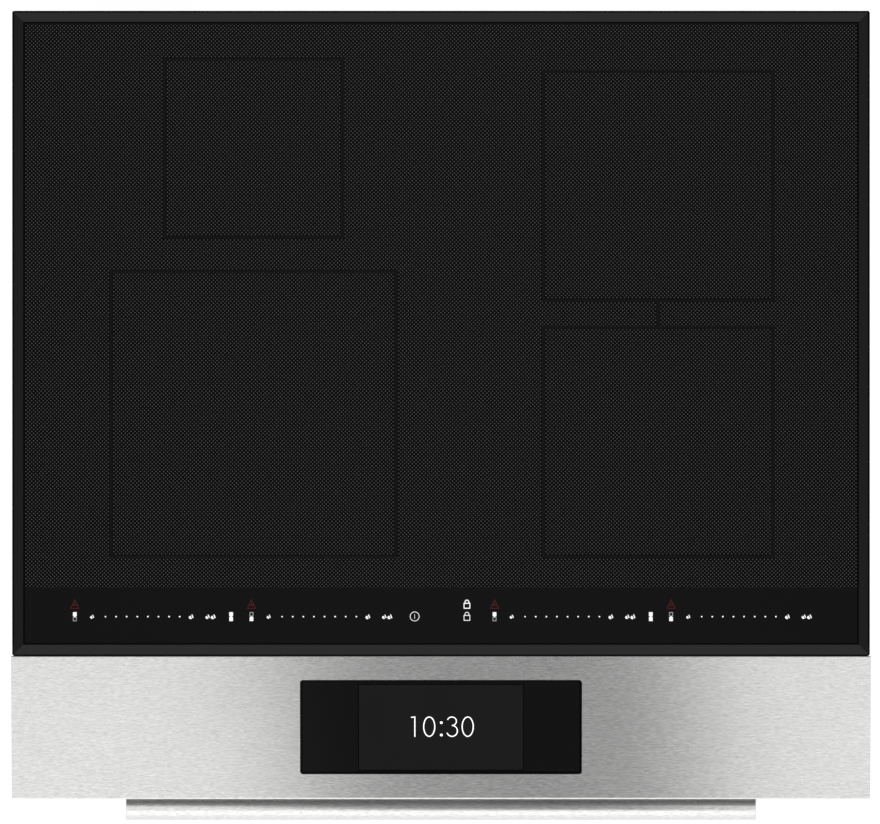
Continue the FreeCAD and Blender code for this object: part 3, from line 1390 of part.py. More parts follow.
def cable(name, route, radius, bend):
    """A round lead along straight runs joined by tangent arcs."""
    points = [FreeCAD.Vector(*(number(text) for text in point)) for point in route]
    edges, start = [], points[0]
    for before, corner, after in zip(points, points[1:], points[2:]):
        to_before, to_after = (before - corner).normalize(), (after - corner).normalize()
        half = to_before.getAngle(to_after) / 2
        back_off = bend / math.tan(half)
        first, last = corner + to_before * back_off, corner + to_after * back_off
        inward = (to_before + to_after).normalize()
        middle = corner + inward * (bend / math.sin(half) - bend)
        edges.append(Part.LineSegment(start, first).toShape())
        edges.append(Part.Arc(first, middle, last).toShape())
        start = last
    edges.append(Part.LineSegment(start, points[-1]).toShape())
    ring = Part.Wire(Part.makeCircle(radius, points[0], points[1] - points[0]))
    lead = doc.addObject("Part::Feature", name)
    lead.Shape = Part.Wire(edges).makePipeShell([ring], True, True)
    return lead


def wiring_harness():
    """Leads between the terminal box, the filter, the two inverters and the display's board."""
    pcb_top = f"({BOARD_TOP} + gap)"
    routes = {
        "lead_filter": (
            ("-280", "303", "40"),
            ("-280", "270", "40"),
            ("-285", "230", "50"),
            ("-285", "185", "50"),
            ("-285", "185", pcb_top),
        ),
        "lead_left": (
            ("-250", "60", pcb_top),
            ("-250", "60", "70"),
            ("-180", "-25", "70"),
            ("-110", "-4", "70"),
            ("-110", "-4", pcb_top),
        ),
        "lead_right": (
            ("-250", "180", pcb_top),
            ("-250", "180", "80"),
            ("-60", "200", "80"),
            ("0", "120", "80"),
            ("78", "-4", "80"),
            ("78", "-4", pcb_top),
        ),
        "lead_front": (
            ("-200", "-4", pcb_top),
            ("-200", "-4", "60"),
            ("-120", "-120", "60"),
            ("-60", "-250", "60"),
            ("-60", "-250", "94"),
        ),
    }
    leads = [cable(name, route, LEAD_RADIUS, LEAD_BEND) for name, route in routes.items()]
    keep(group("wiring_harness", leads), "wiring_harness")


glass_ceramic_top()
glass_support_strips()
worktop_seal()
fascia_panel()
display()
front_apron()
front_rail()
rail_screws = rail_brackets()
base_pan()
side_panels()
rear_panel()
rear_vent_grille()
coil_deck()
for zone, across, along, radius in ZONES:
    coil_carrier(zone, across, along, radius)
    coil_winding(zone, across, along, radius)
    sensor(zone, across, along)
ferrites()
mica_sheets()
for side, sign in SIDES:
    inverter(side, sign)
    fan(side, sign)
boards()
terminal_block()
terminal_cover()
cable_gland()
wiring_harness()
panel_screws(rail_screws + hold_down_clamps())

doc.recompute()
bad = [o.Name for o in doc.Objects if "Invalid" in o.State or "Error" in o.State]
if bad:
    raise RuntimeError(f"failed objects: {bad}")
for item in nodes:
    if item.Shape.isNull() or not item.Shape.isValid():
        raise RuntimeError(f"{item.Label} has no valid shape")
for item in nodes:
    item.Shape.exportStep(f"parts/{item.Label}.step")
print(f"{len(nodes)} sub-parts written")
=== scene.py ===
import json
import math

import bmesh
import bpy
from mathutils import Matrix, Vector


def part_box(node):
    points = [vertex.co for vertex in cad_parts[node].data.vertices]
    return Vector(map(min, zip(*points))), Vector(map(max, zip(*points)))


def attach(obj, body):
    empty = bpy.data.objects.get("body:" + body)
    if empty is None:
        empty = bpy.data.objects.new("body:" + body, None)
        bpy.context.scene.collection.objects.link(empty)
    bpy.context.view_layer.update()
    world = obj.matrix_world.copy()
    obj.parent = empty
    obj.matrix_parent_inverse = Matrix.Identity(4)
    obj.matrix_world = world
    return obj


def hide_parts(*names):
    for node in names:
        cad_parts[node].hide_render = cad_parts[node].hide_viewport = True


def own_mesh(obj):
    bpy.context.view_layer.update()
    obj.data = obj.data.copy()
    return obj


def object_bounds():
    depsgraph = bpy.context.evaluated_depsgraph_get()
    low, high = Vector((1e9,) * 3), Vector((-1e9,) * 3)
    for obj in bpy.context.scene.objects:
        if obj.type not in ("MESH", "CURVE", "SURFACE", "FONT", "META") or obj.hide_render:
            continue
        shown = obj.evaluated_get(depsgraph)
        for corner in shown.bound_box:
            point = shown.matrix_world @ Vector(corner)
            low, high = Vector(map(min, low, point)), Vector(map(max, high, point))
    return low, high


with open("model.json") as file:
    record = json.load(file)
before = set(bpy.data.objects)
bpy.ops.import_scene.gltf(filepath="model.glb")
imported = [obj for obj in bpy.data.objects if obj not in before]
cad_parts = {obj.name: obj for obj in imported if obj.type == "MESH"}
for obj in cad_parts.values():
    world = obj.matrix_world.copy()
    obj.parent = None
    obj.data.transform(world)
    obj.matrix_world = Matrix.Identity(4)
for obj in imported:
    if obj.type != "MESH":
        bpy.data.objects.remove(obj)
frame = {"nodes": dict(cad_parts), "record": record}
cad_low, cad_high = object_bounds()

MM = 0.001
ROOT = "chassis"


# ---------------------------------------------------------------- shader building


class Nodes:
    """Adds nodes to a tree. An input takes another node's output or a plain value."""

    def __init__(self, tree):
        self.tree = tree

    def node(self, kind, inputs=(), **settings):
        made = self.tree.nodes.new(kind)
        for key, value in settings.items():
            setattr(made, key, value)
        for key, value in dict(inputs).items():
            self.feed(made.inputs[key], value)
        return made

    def feed(self, socket, value):
        if isinstance(value, bpy.types.NodeSocket):
            self.tree.links.new(value, socket)
        else:
            socket.default_value = value

    def maths(self, operation, *values):
        return self.node("ShaderNodeMath", enumerate(values), operation=operation).outputs[0]

    def fold(self, operation, values):
        """One value from many, taken two at a time."""
        result, *others = values
        for other in others:
            result = self.maths(operation, result, other)
        return result

    def parts(self, vector):
        """A vector's x, y and z."""
        split = self.node("ShaderNodeSeparateXYZ", {0: vector})
        return split.outputs[0], split.outputs[1], split.outputs[2]

    def spread(self, value, low, high, start=0.0, end=1.0, **settings):
        """Maps start..end of a value to low..high, and holds it there outside."""
        inputs = {"Value": value, "From Min": start, "From Max": end, "To Min": low, "To Max": high}
        return self.node("ShaderNodeMapRange", inputs, **settings).outputs["Result"]


class Shader(Nodes):
    """A material whose Principled node is fed from a few helper calls."""

    def __init__(self, name, **sockets):
        self.material = bpy.data.materials.new(name)
        self.material.use_nodes = True
        super().__init__(self.material.node_tree)
        self.main = self.tree.nodes["Principled BSDF"]
        for socket, value in sockets.items():
            self.main.inputs[socket.replace("_", " ")].default_value = value
        self.place = self.node("ShaderNodeTexCoord").outputs["Object"]

    def stretched(self, scale):
        """The object's own coordinates, scaled along each axis."""
        made = self.node("ShaderNodeMapping", {"Vector": self.place, "Scale": scale})
        return made.outputs["Vector"]

    def noise(self, scale, detail=4.0, roughness=0.55, vector=None):
        place = self.place if vector is None else vector
        inputs = {"Vector": place, "Scale": scale, "Detail": detail, "Roughness": roughness}
        return self.node("ShaderNodeTexNoise", inputs).outputs["Fac"]

    def blend(self, share, first, second):
        """One colour over another."""
        made = self.node("ShaderNodeMix", data_type="RGBA")
        self.feed(made.inputs["Factor"], share)
        self.feed(made.inputs[6], first)
        self.feed(made.inputs[7], second)
        return made.outputs[2]

    def bump(self, height, strength, distance):
        inputs = {"Strength": strength, "Distance": distance, "Height": height}
        return self.node("ShaderNodeBump", inputs).outputs["Normal"]

    def colour(self, value):
        self.feed(self.main.inputs["Base Color"], value)

    def rough(self, value):
        self.feed(self.main.inputs["Roughness"], value)

    def normal(self, value):
        self.feed(self.main.inputs["Normal"], value)


def grey(value, tint=(1.0, 1.0, 1.0)):
    return (value * tint[0], value * tint[1], value * tint[2], 1.0)


def place_object(name, data):
    """A new object in the scene."""
    item = bpy.data.objects.new(name, data)
    bpy.context.collection.objects.link(item)
    return item


# ---------------------------------------------------------------- layout, from the frame

glass_low, glass_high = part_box("glass_ceramic_top")
fascia_low, fascia_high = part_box("fascia_panel")
display_low, display_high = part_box("display_glass")
GLASS_TOP = glass_high.z
BEVEL = 9.7 * MM

# The dotted area of the glass
PRINT_FRONT = glass_low.y + 59.9 * MM
PRINT_HALF = glass_high.x - 11.4 * MM
PRINT_BACK = glass_high.y - 11.8 * MM

# Each zone's centre, which is its coil's, and the side of its printed square
COILS = {
    zone: (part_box(f"sensor_plunger_{zone}")[0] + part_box(f"sensor_plunger_{zone}")[1]) / 2
    for zone in ("rear_left", "front_left", "rear_right", "front_right")
}
ZONE_WIDE = {
    "rear_left": 157.5 * MM,
    "front_left": 251.5 * MM,
    "rear_right": 202 * MM,
    "front_right": 202 * MM,
}
LINE_WIDE = 3.2 * MM


# ---------------------------------------------------------------- materials


def black_glass():
    """Black glass ceramic. Fine grey dots cover the cooking area, apart from the zones' outlines."""
    s = Shader("black_glass", IOR=1.5)
    x, y, _ = s.parts(s.place)
    pitch, dot = 3.376 * MM, 0.5 * MM

    def distance(shift):
        """The squared distance, in pitches, to the nearest dot of a square grid."""
        squares = []
        for value in (x, y):
            cell = s.maths("FRACT", s.maths("ADD", s.maths("DIVIDE", value, pitch), shift))
            off = s.maths("SUBTRACT", cell, 0.5)
            squares.append(s.maths("MULTIPLY", off, off))
        return s.maths("ADD", *squares)

    # Two grids, half a pitch apart. The whole pitches keep the values above zero.
    first_grid, second_grid = 40.0, 40.5
    nearest = s.maths("SQRT", s.maths("MINIMUM", distance(first_grid), distance(second_grid)))
    soft = 0.22 * MM
    dots = s.spread(nearest, 1.0, 0.0, (dot - soft) / pitch, (dot + soft) / pitch)

    def inside(value, low, high):
        return s.maths("MULTIPLY", s.maths("GREATER_THAN", value, low), s.maths("LESS_THAN", value, high))

    area = s.maths("MULTIPLY", inside(x, -PRINT_HALF, PRINT_HALF), inside(y, PRINT_FRONT, PRINT_BACK))
    lines = []
    for zone, centre in COILS.items():
        half = ZONE_WIDE[zone] / 2
        away_x = s.maths("SUBTRACT", s.maths("ABSOLUTE", s.maths("SUBTRACT", x, centre.x)), half)
        away_y = s.maths("SUBTRACT", s.maths("ABSOLUTE", s.maths("SUBTRACT", y, centre.y)), half)
        lines.append(s.maths("ABSOLUTE", s.maths("MAXIMUM", away_x, away_y)))
    clear = s.maths("GREATER_THAN", s.fold("MINIMUM", lines), LINE_WIDE / 2)

    # A short line joins the two zones on the right.
    right = COILS["rear_right"].x
    tick_low = COILS["front_right"].y + ZONE_WIDE["front_right"] / 2
    tick_high = COILS["rear_right"].y - ZONE_WIDE["rear_right"] / 2
    tick_across = inside(x, right - LINE_WIDE / 2, right + LINE_WIDE / 2)
    tick = s.maths("MULTIPLY", tick_across, inside(y, tick_low, tick_high))
    dotted = s.maths("MULTIPLY", s.maths("MULTIPLY", area, clear), s.maths("SUBTRACT", 1.0, tick))
    print_mask = s.maths("MULTIPLY", dots, dotted)
    worn = s.spread(s.noise(900.0, 2.0), 0.75, 1.1)

    # The bevels are plain. Along their inner edge runs a darker line, painted shade in the crease, and a rim
    # along the glass's edge is darker, with little shine.
    crease_in, crease_reach, side_rim, front_rim = 0.8 * MM, 0.9 * MM, 1.6 * MM, 1.1 * MM
    edge_x = s.maths("SUBTRACT", s.maths("ABSOLUTE", x), glass_high.x - BEVEL)
    middle, reach = (glass_low.y + glass_high.y) / 2, (glass_high.y - glass_low.y) / 2 - BEVEL
    edge_y = s.maths("SUBTRACT", s.maths("ABSOLUTE", s.maths("SUBTRACT", y, middle)), reach)
    nearer = s.maths("MAXIMUM", edge_x, edge_y)
    # A thin line of painted shade along the bevel's inner crease.
    crease_shade = s.maths("LESS_THAN", s.maths("ABSOLUTE", s.maths("ADD", nearer, crease_in)), crease_reach)
    in_front = s.maths("LESS_THAN", y, glass_low.y + BEVEL)
    rim = s.maths("GREATER_THAN", nearer, s.spread(in_front, BEVEL - side_rim, BEVEL - front_rim))
    plain, darkest, ink = grey(0.0062), grey(0.001), grey(0.096)
    bare = s.blend(s.maths("MAXIMUM", s.maths("MAXIMUM", dotted, crease_shade), rim), plain, darkest)
    s.colour(s.blend(s.maths("MULTIPLY", print_mask, worn), bare, ink))
    s.feed(s.main.inputs["Specular IOR Level"], s.spread(rim, 0.5, 0.06))
    smear = s.noise(9.0, 6.0, 0.6, s.stretched((1.0, 1.6, 1.0)))
    s.rough(s.maths("ADD", s.spread(smear, 0.035, 0.085), s.maths("MULTIPLY", print_mask, 0.28)))
    s.normal(s.bump(s.noise(60.0, 2.0), 0.04, 0.02 * MM))
    return s.material


def brushed_steel(name, tone, along="x", roughness=0.2, streak=0.5):
    """Stainless steel with fine streaks along one axis, and fainter ones that are longer and wider."""
    s = Shader(name, Metallic=1.0, Anisotropic=0.75)
    long, fine = 190.0, 2000.0
    scale = {"x": (long, fine, fine), "z": (fine, fine, long)}[along]
    streaks = s.noise(1.0, 5.0, 0.65, s.stretched(scale))
    band_scale = tuple(v * (0.3 if v == long else 0.6) for v in scale)
    bands = s.noise(1.0, 3.0, 0.6, s.stretched(band_scale))
    cloud = s.noise(14.0, 3.0, 0.5)
    mixed = s.maths("ADD", s.maths("MULTIPLY", streaks, 0.8), s.maths("MULTIPLY", bands, 0.2))
    contrast, tint = 0.24 * streak, (1.0, 1.0, 0.992)
    dark, light = grey(tone * (1.0 - contrast), tint), grey(min(tone * (1.0 + contrast), 1.0), tint)
    s.colour(s.blend(s.spread(mixed, 0.0, 1.0, 0.3, 0.7), dark, light))
    s.rough(s.maths("ADD", s.spread(mixed, roughness - 0.05, roughness + 0.07), s.spread(cloud, -0.02, 0.03)))
    s.normal(s.bump(mixed, 0.25, 0.03 * MM))
    vector = {"x": (0.0, 1.0, 0.0), "z": (1.0, 0.0, 0.0)}[along]
    tangent = s.node("ShaderNodeCombineXYZ", dict(enumerate(vector)))
    s.feed(s.main.inputs["Tangent"], tangent.outputs[0])
    return s.material


def galvanised(name, tone=0.52):
    """Zinc-coated sheet: crystals with slightly different tone and gloss, dulled by handling."""
    s = Shader(name, Metallic=1.0)
    warp = s.maths("MULTIPLY", s.noise(70.0, 2.0), 0.008)
    nudge = s.node("ShaderNodeCombineXYZ", {0: warp}).outputs[0]
    shifted = s.node("ShaderNodeVectorMath", {0: s.place, 1: nudge}, operation="ADD")
    cells = s.node("ShaderNodeTexVoronoi", {"Vector": shifted.outputs[0], "Scale": 95.0})
    crystal = s.node("ShaderNodeSeparateColor", {0: cells.outputs["Color"]}).outputs[0]
    dull = s.noise(6.0, 5.0, 0.6)
    shade = s.maths("ADD", s.spread(crystal, 0.0, 0.5), s.spread(dull, 0.0, 0.6))
    s.colour(s.blend(shade, grey(tone * 0.82, (0.97, 1.0, 1.03)), grey(tone * 1.14, (0.99, 1.0, 1.01))))
    s.rough(s.maths("ADD", s.spread(crystal, 0.30, 0.42), s.spread(dull, 0.0, 0.12)))
    s.normal(s.bump(s.noise(260.0, 3.0), 0.12, 0.05 * MM))
    return s.material


def powder_coat(name, tone=0.02):
    """Black powder coat with its fine orange-peel skin."""
    s = Shader(name, IOR=1.5)
    peel = s.noise(1500.0, 2.0)
    dust = s.noise(22.0, 5.0)
    s.colour(s.blend(s.spread(dust, 0.0, 1.0, 0.35, 0.75), grey(tone), grey(tone * 1.5)))
    s.rough(s.spread(dust, 0.38, 0.52))
    s.normal(s.bump(peel, 0.35, 0.06 * MM))
    return s.material


def moulded(name, colour, roughness=0.5, grain=1100.0, depth=0.3):
    """Moulded plastic with a fine spark-eroded grain."""
    s = Shader(name, IOR=1.46)
    mottle = s.noise(30.0, 4.0)
    darker = tuple(c * 0.86 for c in colour[:3]) + (1.0,)
    s.colour(s.blend(mottle, darker, colour))
    s.rough(s.spread(mottle, roughness - 0.06, roughness + 0.08))
    s.normal(s.bump(s.noise(grain, 3.0), depth, 0.04 * MM))
    return s.material


def foam():
    """Closed-cell foam: small soft cells, their hollows painted darker as shade."""
    s = Shader("foam_seal", IOR=1.4)
    cells = s.node("ShaderNodeTexVoronoi", {"Vector": s.place, "Scale": 1400.0})
    # Darker at the cells' sunken middles: painted shade in the hollows.
    s.colour(s.blend(cells.outputs["Distance"], grey(0.012), grey(0.05)))
    s.rough(s.spread(cells.outputs["Distance"], 0.78, 0.95))
    s.normal(s.bump(cells.outputs["Distance"], 0.6, 0.3 * MM))
    return s.material


def plated(name, tone=0.6, roughness=0.3, tint=(1.0, 0.99, 0.95)):
    """Zinc-plated hardware with turning marks and small dull patches."""
    s = Shader(name, Metallic=1.0)
    patches = s.noise(240.0, 4.0)
    s.colour(s.blend(patches, grey(tone * 0.8, tint), grey(tone * 1.12, tint)))
    s.rough(s.spread(patches, roughness - 0.07, roughness + 0.12))
    s.normal(s.bump(s.noise(1800.0, 2.0), 0.15, 0.02 * MM))
    return s.material


def circuit_board():
    """Green solder mask over lighter copper traces."""
    s = Shader("circuit_board", IOR=1.5)
    traces = s.noise(320.0, 1.0, 0.4, s.stretched((1.0, 0.25, 1.0)))
    s.colour(s.blend(s.maths("GREATER_THAN", traces, 0.56), (0.008, 0.05, 0.022, 1), (0.02, 0.11, 0.05, 1)))
    s.rough(s.spread(traces, 0.22, 0.36))
    s.normal(s.bump(traces, 0.2, 0.05 * MM))
    return s.material


def copper():
    """Copper windings with the unevenness of their strands."""
    s = Shader("copper", Metallic=1.0)
    strands = s.noise(900.0, 3.0)
    s.colour(s.blend(strands, (0.42, 0.14, 0.06, 1), (0.78, 0.36, 0.2, 1)))
    s.rough(s.spread(strands, 0.25, 0.42))
    s.normal(s.bump(strands, 0.4, 0.1 * MM))
    return s.material


def display_glass():
    """Smoked, anti-reflective glass with a black border. The module behind it shows as a lighter field."""
    s = Shader("display_glass", IOR=1.45, Specular_IOR_Level=0.1)
    x, y, _ = s.parts(s.place)
    centre_y = (display_low.y + display_high.y) / 2
    half_y = (display_high.y - display_low.y) / 2
    field_x, field_y, field_drop, rim, border = 73.4 * MM, 38.6 * MM, 0.7 * MM, 1.0 * MM, 2.3 * MM
    away_x = s.maths("SUBTRACT", s.maths("ABSOLUTE", x), field_x)
    away_y = s.maths("SUBTRACT", s.maths("ABSOLUTE", s.maths("SUBTRACT", y, centre_y - field_drop)), field_y)
    away = s.maths("MAXIMUM", away_x, away_y)
    in_field = s.maths("LESS_THAN", away, -rim)
    in_rim = s.maths("MULTIPLY", s.maths("LESS_THAN", away, 0.0), s.maths("GREATER_THAN", away, -rim))
    edge_x = s.maths("SUBTRACT", s.maths("ABSOLUTE", x), display_high.x)
    edge_y = s.maths("SUBTRACT", s.maths("ABSOLUTE", s.maths("SUBTRACT", y, centre_y)), half_y)
    in_border = s.maths("GREATER_THAN", s.maths("MAXIMUM", edge_x, edge_y), -border)
    glow = s.noise(26.0, 2.0)
    field = s.blend(glow, grey(0.0102), grey(0.0128))
    inner = s.blend(in_field, grey(0.0056), field)
    s.colour(s.blend(s.maths("MAXIMUM", in_rim, in_border), inner, grey(0.001)))
    s.rough(s.spread(s.noise(12.0, 5.0), 0.04, 0.09))
    s.normal(s.bump(s.noise(50.0, 2.0), 0.03, 0.02 * MM))
    return s.material


def printed(name, colour, glow):
    """Ink, a little uneven, with an even glow. On the glass's prints the glow is painted light; the display's
    digits do light up.
    """
    s = Shader(name, Roughness=0.4)
    uneven = s.noise(700.0, 2.0)
    s.colour(s.blend(uneven, tuple(c * 0.85 for c in colour[:3]) + (1.0,), colour))
    # The emission is painted light on the glass's prints; on the display's digits it is their own light.
    s.main.inputs["Emission Color"].default_value = colour
    s.main.inputs["Emission Strength"].default_value = glow
    return s.material


MATERIALS = {
    "black_glass": black_glass(),
    "display_glass": display_glass(),
    "stainless": brushed_steel("stainless", 0.7, streak=1.3),
    "stainless_satin": brushed_steel("stainless_satin", 0.5, "z", 0.36),
    "zinc_steel": galvanised("zinc_steel"),
    "dark_enamel": powder_coat("dark_enamel"),
    "foam_seal": foam(),
    "black_plastic": moulded("black_plastic", grey(0.022)),
    "white_plastic": moulded("white_plastic", (0.62, 0.61, 0.57, 1), 0.42),
    "circuit_board": circuit_board(),
    "component": moulded("component", grey(0.05), 0.38),
    "screw_steel": plated("screw_steel"),
    "spring_steel": plated("spring_steel", 0.66, 0.2, (1, 1, 1)),
    "aluminium_sheet": galvanised("aluminium_sheet", 0.7),
    "ferrite": moulded("ferrite", grey(0.035), 0.6, 500.0, 0.6),
    "mica": moulded("mica", (0.46, 0.40, 0.28, 1), 0.55, 300.0, 0.4),
    "copper": copper(),
    "lead_rubber": moulded("lead_rubber", grey(0.02), 0.6),
}
# The three prints on the glass glow with painted light.
WHITE_PRINT = printed("white_print", (0.86, 0.87, 0.86, 1), 0.4)
SOFT_PRINT = printed("soft_print", (0.32, 0.33, 0.33, 1), 0.3)
RED_PRINT = printed("red_print", (0.078, 0.006, 0.007, 1), 0.25)
DIGIT_LIGHT = printed("digit_light", (0.82, 0.83, 0.83, 1), 0.72)


def finish_cad():
    """Gives every CAD node the material of its slot."""
    for part in frame["record"]["subparts"]:
        node = frame["nodes"][part["node"]]
        for place in node.material_slots:
            place.material = MATERIALS[part["material_slot"]]


# ---------------------------------------------------------------- flat prints


class Print:
    """Thin flat shapes drawn in a plane. All of them become one raised mesh, just clear of the glass."""

    THICK = 0.04 * MM
    LIFT = 0.01 * MM
    SLOT = "white_plastic"

    def __init__(self, name, material, at):
        self.name, self.material, self.at = name, material, at
        self.mesh = bmesh.new()

    def face(self, points):
        self.mesh.faces.new([self.mesh.verts.new((u, v, 0.0)) for u, v in points])

    def disc(self, u, v, radius, sides=20):
        turn = 2 * math.pi / sides
        self.face([(u + radius * math.cos(i * turn), v + radius * math.sin(i * turn)) for i in range(sides)])

    def box(self, u, v, wide, tall):
        self.face(
            [
                (u - wide / 2, v - tall / 2),
                (u + wide / 2, v - tall / 2),
                (u + wide / 2, v + tall / 2),
                (u - wide / 2, v + tall / 2),
            ]
        )

    def stroke(self, points, wide, closed=False):
        """A ribbon along a line with mitred corners."""
        count = len(points)
        pairs = []
        for i in range(count):
            here = Vector(points[i])
            before = Vector(points[i - 1]) if closed or i else None
            after = Vector(points[(i + 1) % count]) if closed or i < count - 1 else None
            ways = [(here - before).normalized()] if before is not None else []
            ways += [(after - here).normalized()] if after is not None else []
            way = sum(ways, Vector((0.0, 0.0))).normalized()
            side = Vector((-way.y, way.x))
            lean = max(abs(side.dot(Vector((-ways[0].y, ways[0].x)))), 0.35)
            pairs.append((here + side * wide / 2 / lean, here - side * wide / 2 / lean))
        for i in range(count if closed else count - 1):
            (a, b), (c, d) = pairs[i], pairs[(i + 1) % count]
            self.face([tuple(b), tuple(d), tuple(c), tuple(a)])

    def arc(self, u, v, radius, wide, start, end, tall=None, steps=28):
        """A ribbon along an arc of a circle, or of an ellipse where tall isn't the radius, in degrees."""
        tall = radius if tall is None else tall
        turns = [math.radians(start + (end - start) * i / steps) for i in range(steps + 1)]
        points = [(u + radius * math.cos(a), v + tall * math.sin(a)) for a in turns]
        full = abs(end - start) >= 360
        self.stroke(points[:-1] if full else points, wide, closed=full)

    def build(self):
        """Gives the shapes their thickness and puts them on their plane as one piece."""
        bmesh.ops.remove_doubles(self.mesh, verts=self.mesh.verts, dist=1e-7)
        bmesh.ops.recalc_face_normals(self.mesh, faces=self.mesh.faces)
        for face in self.mesh.faces:
            if face.normal.z < 0:
                face.normal_flip()
        bottom = list(self.mesh.faces)
        grown = bmesh.ops.extrude_face_region(self.mesh, geom=bottom, use_keep_orig=True)
        raised = [item for item in grown["geom"] if isinstance(item, bmesh.types.BMVert)]
        bmesh.ops.translate(self.mesh, verts=raised, vec=(0, 0, self.THICK))
        for face in bottom:
            face.normal_flip()
        bmesh.ops.transform(self.mesh, matrix=self.at, verts=self.mesh.verts)
        data = bpy.data.meshes.new(self.name)
        self.mesh.to_mesh(data)
        self.mesh.free()
        data.materials.append(self.material)
        piece = place_object(self.name, data)
        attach(piece, ROOT)


ON_GLASS = Matrix.Translation((0, 0, GLASS_TOP + Print.LIFT))

# The touch row, in millimetres. Places along a slider are measured from its zone icon.
SLIDERS = (  # zone icon's place, which of its two squares is filled, bridge icon or not
    (-323.5, "top", True),
    (-167.6, "low", False),
    (46.9, "top", True),
    (202.7, "low", False),
)
SLIDER_SHIFT = 0.35
ROW_Y = -177.1
DOT_COUNT, FIRST_DOT, DOT_PITCH = 8, 27.0, 9.36
END_DOT_RADIUS, DOT_RADIUS = 0.64, 0.72
FLAMES = ((15.1, 3.5), (102.6, 4.2), (117.1, 3.9), (122.0, 4.3))  # place and size
BRIDGE_ICON = 137.9
WARNING_UP = 11.1
POWER_KEY = (-23.25, ROW_Y + 0.2)
LOCK_KEYS = ((22.9, -165.7, True), (22.9, -176.4, False))  # place and whether it is bold
ICON_GAP = 4.3


def flame(drawing, u, v, size):
    """A small flame: a round body low on the left and a slanting tongue on its right."""
    body = (
        (-0.52, -0.14), (-0.24, 0.2), (-0.04, 0.12), (0.02, -0.1), (0.2, -0.4), (-0.08, -0.54), (-0.36, -0.42)
    )
    tongue = ((0.08, 0.52), (0.3, 0.4), (0.54, -0.26), (0.34, -0.34), (0.16, 0.0))
    for outline in (body, tongue):
        drawing.face([(u + a * size, v + b * size) for a, b in outline])


def zone_icon(drawing, u, filled):
    """Two stacked squares joined by a short bar. Only the filled ones are drawn here."""
    wide, tall, gap = 3.3 * MM, 3.6 * MM, ICON_GAP * MM
    for name, v in (("top", ROW_Y * MM + gap / 2), ("low", ROW_Y * MM - gap / 2)):
        if filled in (name, "both"):
            drawing.box(u, v, wide, tall)
    drawing.box(u, ROW_Y * MM, wide * 0.45, gap - tall + 0.3 * MM)


def zone_outline(drawing, u, filled):
    """The frame of the square that isn't filled."""
    wide, tall, gap, line = 3.4 * MM, 3.7 * MM, ICON_GAP * MM, 0.65 * MM
    v = ROW_Y * MM + (gap / 2 if filled == "low" else -gap / 2)
    across, up = (wide - line) / 2, (tall - line) / 2
    corners = ((u - across, v - up), (u + across, v - up), (u + across, v + up), (u - across, v + up))
    drawing.stroke(corners, line, closed=True)


def warning_triangle(drawing, u, v):
    """A triangle round a zigzag and a short bar."""
    wide, tall, line = 7.2 * MM, 7.6 * MM, 0.6 * MM
    corners = ((u - wide / 2, v - tall / 2), (u + wide / 2, v - tall / 2), (u, v + tall / 2))
    drawing.stroke(corners, line, closed=True)
    count, step, low, rise = 6, 0.75, -1.4, 0.6
    zigzag = [(u + (i - (count - 1) / 2) * step * MM, v + (low + rise * (i % 2)) * MM) for i in range(count)]
    drawing.stroke(zigzag, line)
    bar_up, bar_tall = 0.3 * MM, 1.9 * MM
    drawing.box(u, v + bar_up, line, bar_tall)


def padlock(drawing, u, v, bold):
    """A lock: an arched shackle over an open body."""
    wide, tall, bow, leg = 5.1 * MM, 4.4 * MM, 1.7 * MM, 1.1 * MM
    line = 0.85 * MM if bold else 0.6 * MM
    low = v - 4.0 * MM
    left, right = u - wide / 2, u + wide / 2
    drawing.stroke(((left, low), (right, low), (right, low + tall), (left, low + tall)), line, closed=True)
    shackle = low + tall + leg
    steps = 10
    turns = [math.pi * i / steps for i in range(steps + 1)]
    arch = [(u - bow * math.cos(turn), shackle + bow * math.sin(turn)) for turn in turns]
    drawing.stroke([(u - bow, low + tall)] + arch + [(u + bow, low + tall)], line)


def power_key(drawing, u, v):
    """A ring with an upright bar in it."""
    radius, ring, bar, bar_tall = 4.0 * MM, 0.5 * MM, 0.35 * MM, 4.2 * MM
    drawing.arc(u, v, radius, ring, 0, 360)
    drawing.box(u, v, bar, bar_tall)


def touch_row():
    """Four sliders with their zone and hot-surface marks, and the power and lock keys."""
    for number, (at, filled, bridged) in enumerate(SLIDERS, start=1):
        u, v = (at + SLIDER_SHIFT) * MM, ROW_Y * MM
        row = Print(f"touch_slider_{number}", WHITE_PRINT, ON_GLASS)
        zone_icon(row, u, filled)
        for i in range(DOT_COUNT):
            row.disc(u + (FIRST_DOT + DOT_PITCH * i) * MM, v, (DOT_RADIUS if i else END_DOT_RADIUS) * MM)
        for along, size in FLAMES:
            flame(row, u + along * MM, v, size * MM)
        if bridged:
            zone_icon(row, u + BRIDGE_ICON * MM, "both")
        row.build()
        outline = Print(f"zone_outline_{number}", SOFT_PRINT, ON_GLASS)
        zone_outline(outline, u, filled)
        outline.build()
        warning = Print(f"hot_surface_mark_{number}", RED_PRINT, ON_GLASS)
        warning_triangle(warning, u, v + WARNING_UP * MM)
        warning.build()
    keys = Print("power_and_lock_keys", WHITE_PRINT, ON_GLASS)
    power_key(keys, POWER_KEY[0] * MM, POWER_KEY[1] * MM)
    for across, up, bold in LOCK_KEYS:
        padlock(keys, across * MM, up * MM, bold)
    keys.build()


# ---------------------------------------------------------------- display


def slope():
    """The fascia's outward normal, averaged over its sloping upper faces."""
    total = Vector()
    for face in frame["nodes"]["fascia_panel"].data.polygons:
        if face.normal.z > 0.8 and face.normal.y < -0.2:
            total += face.normal * face.area
    return total.normalized()


SLOPE = slope()
DISPLAY_THICK = 3.0 * MM


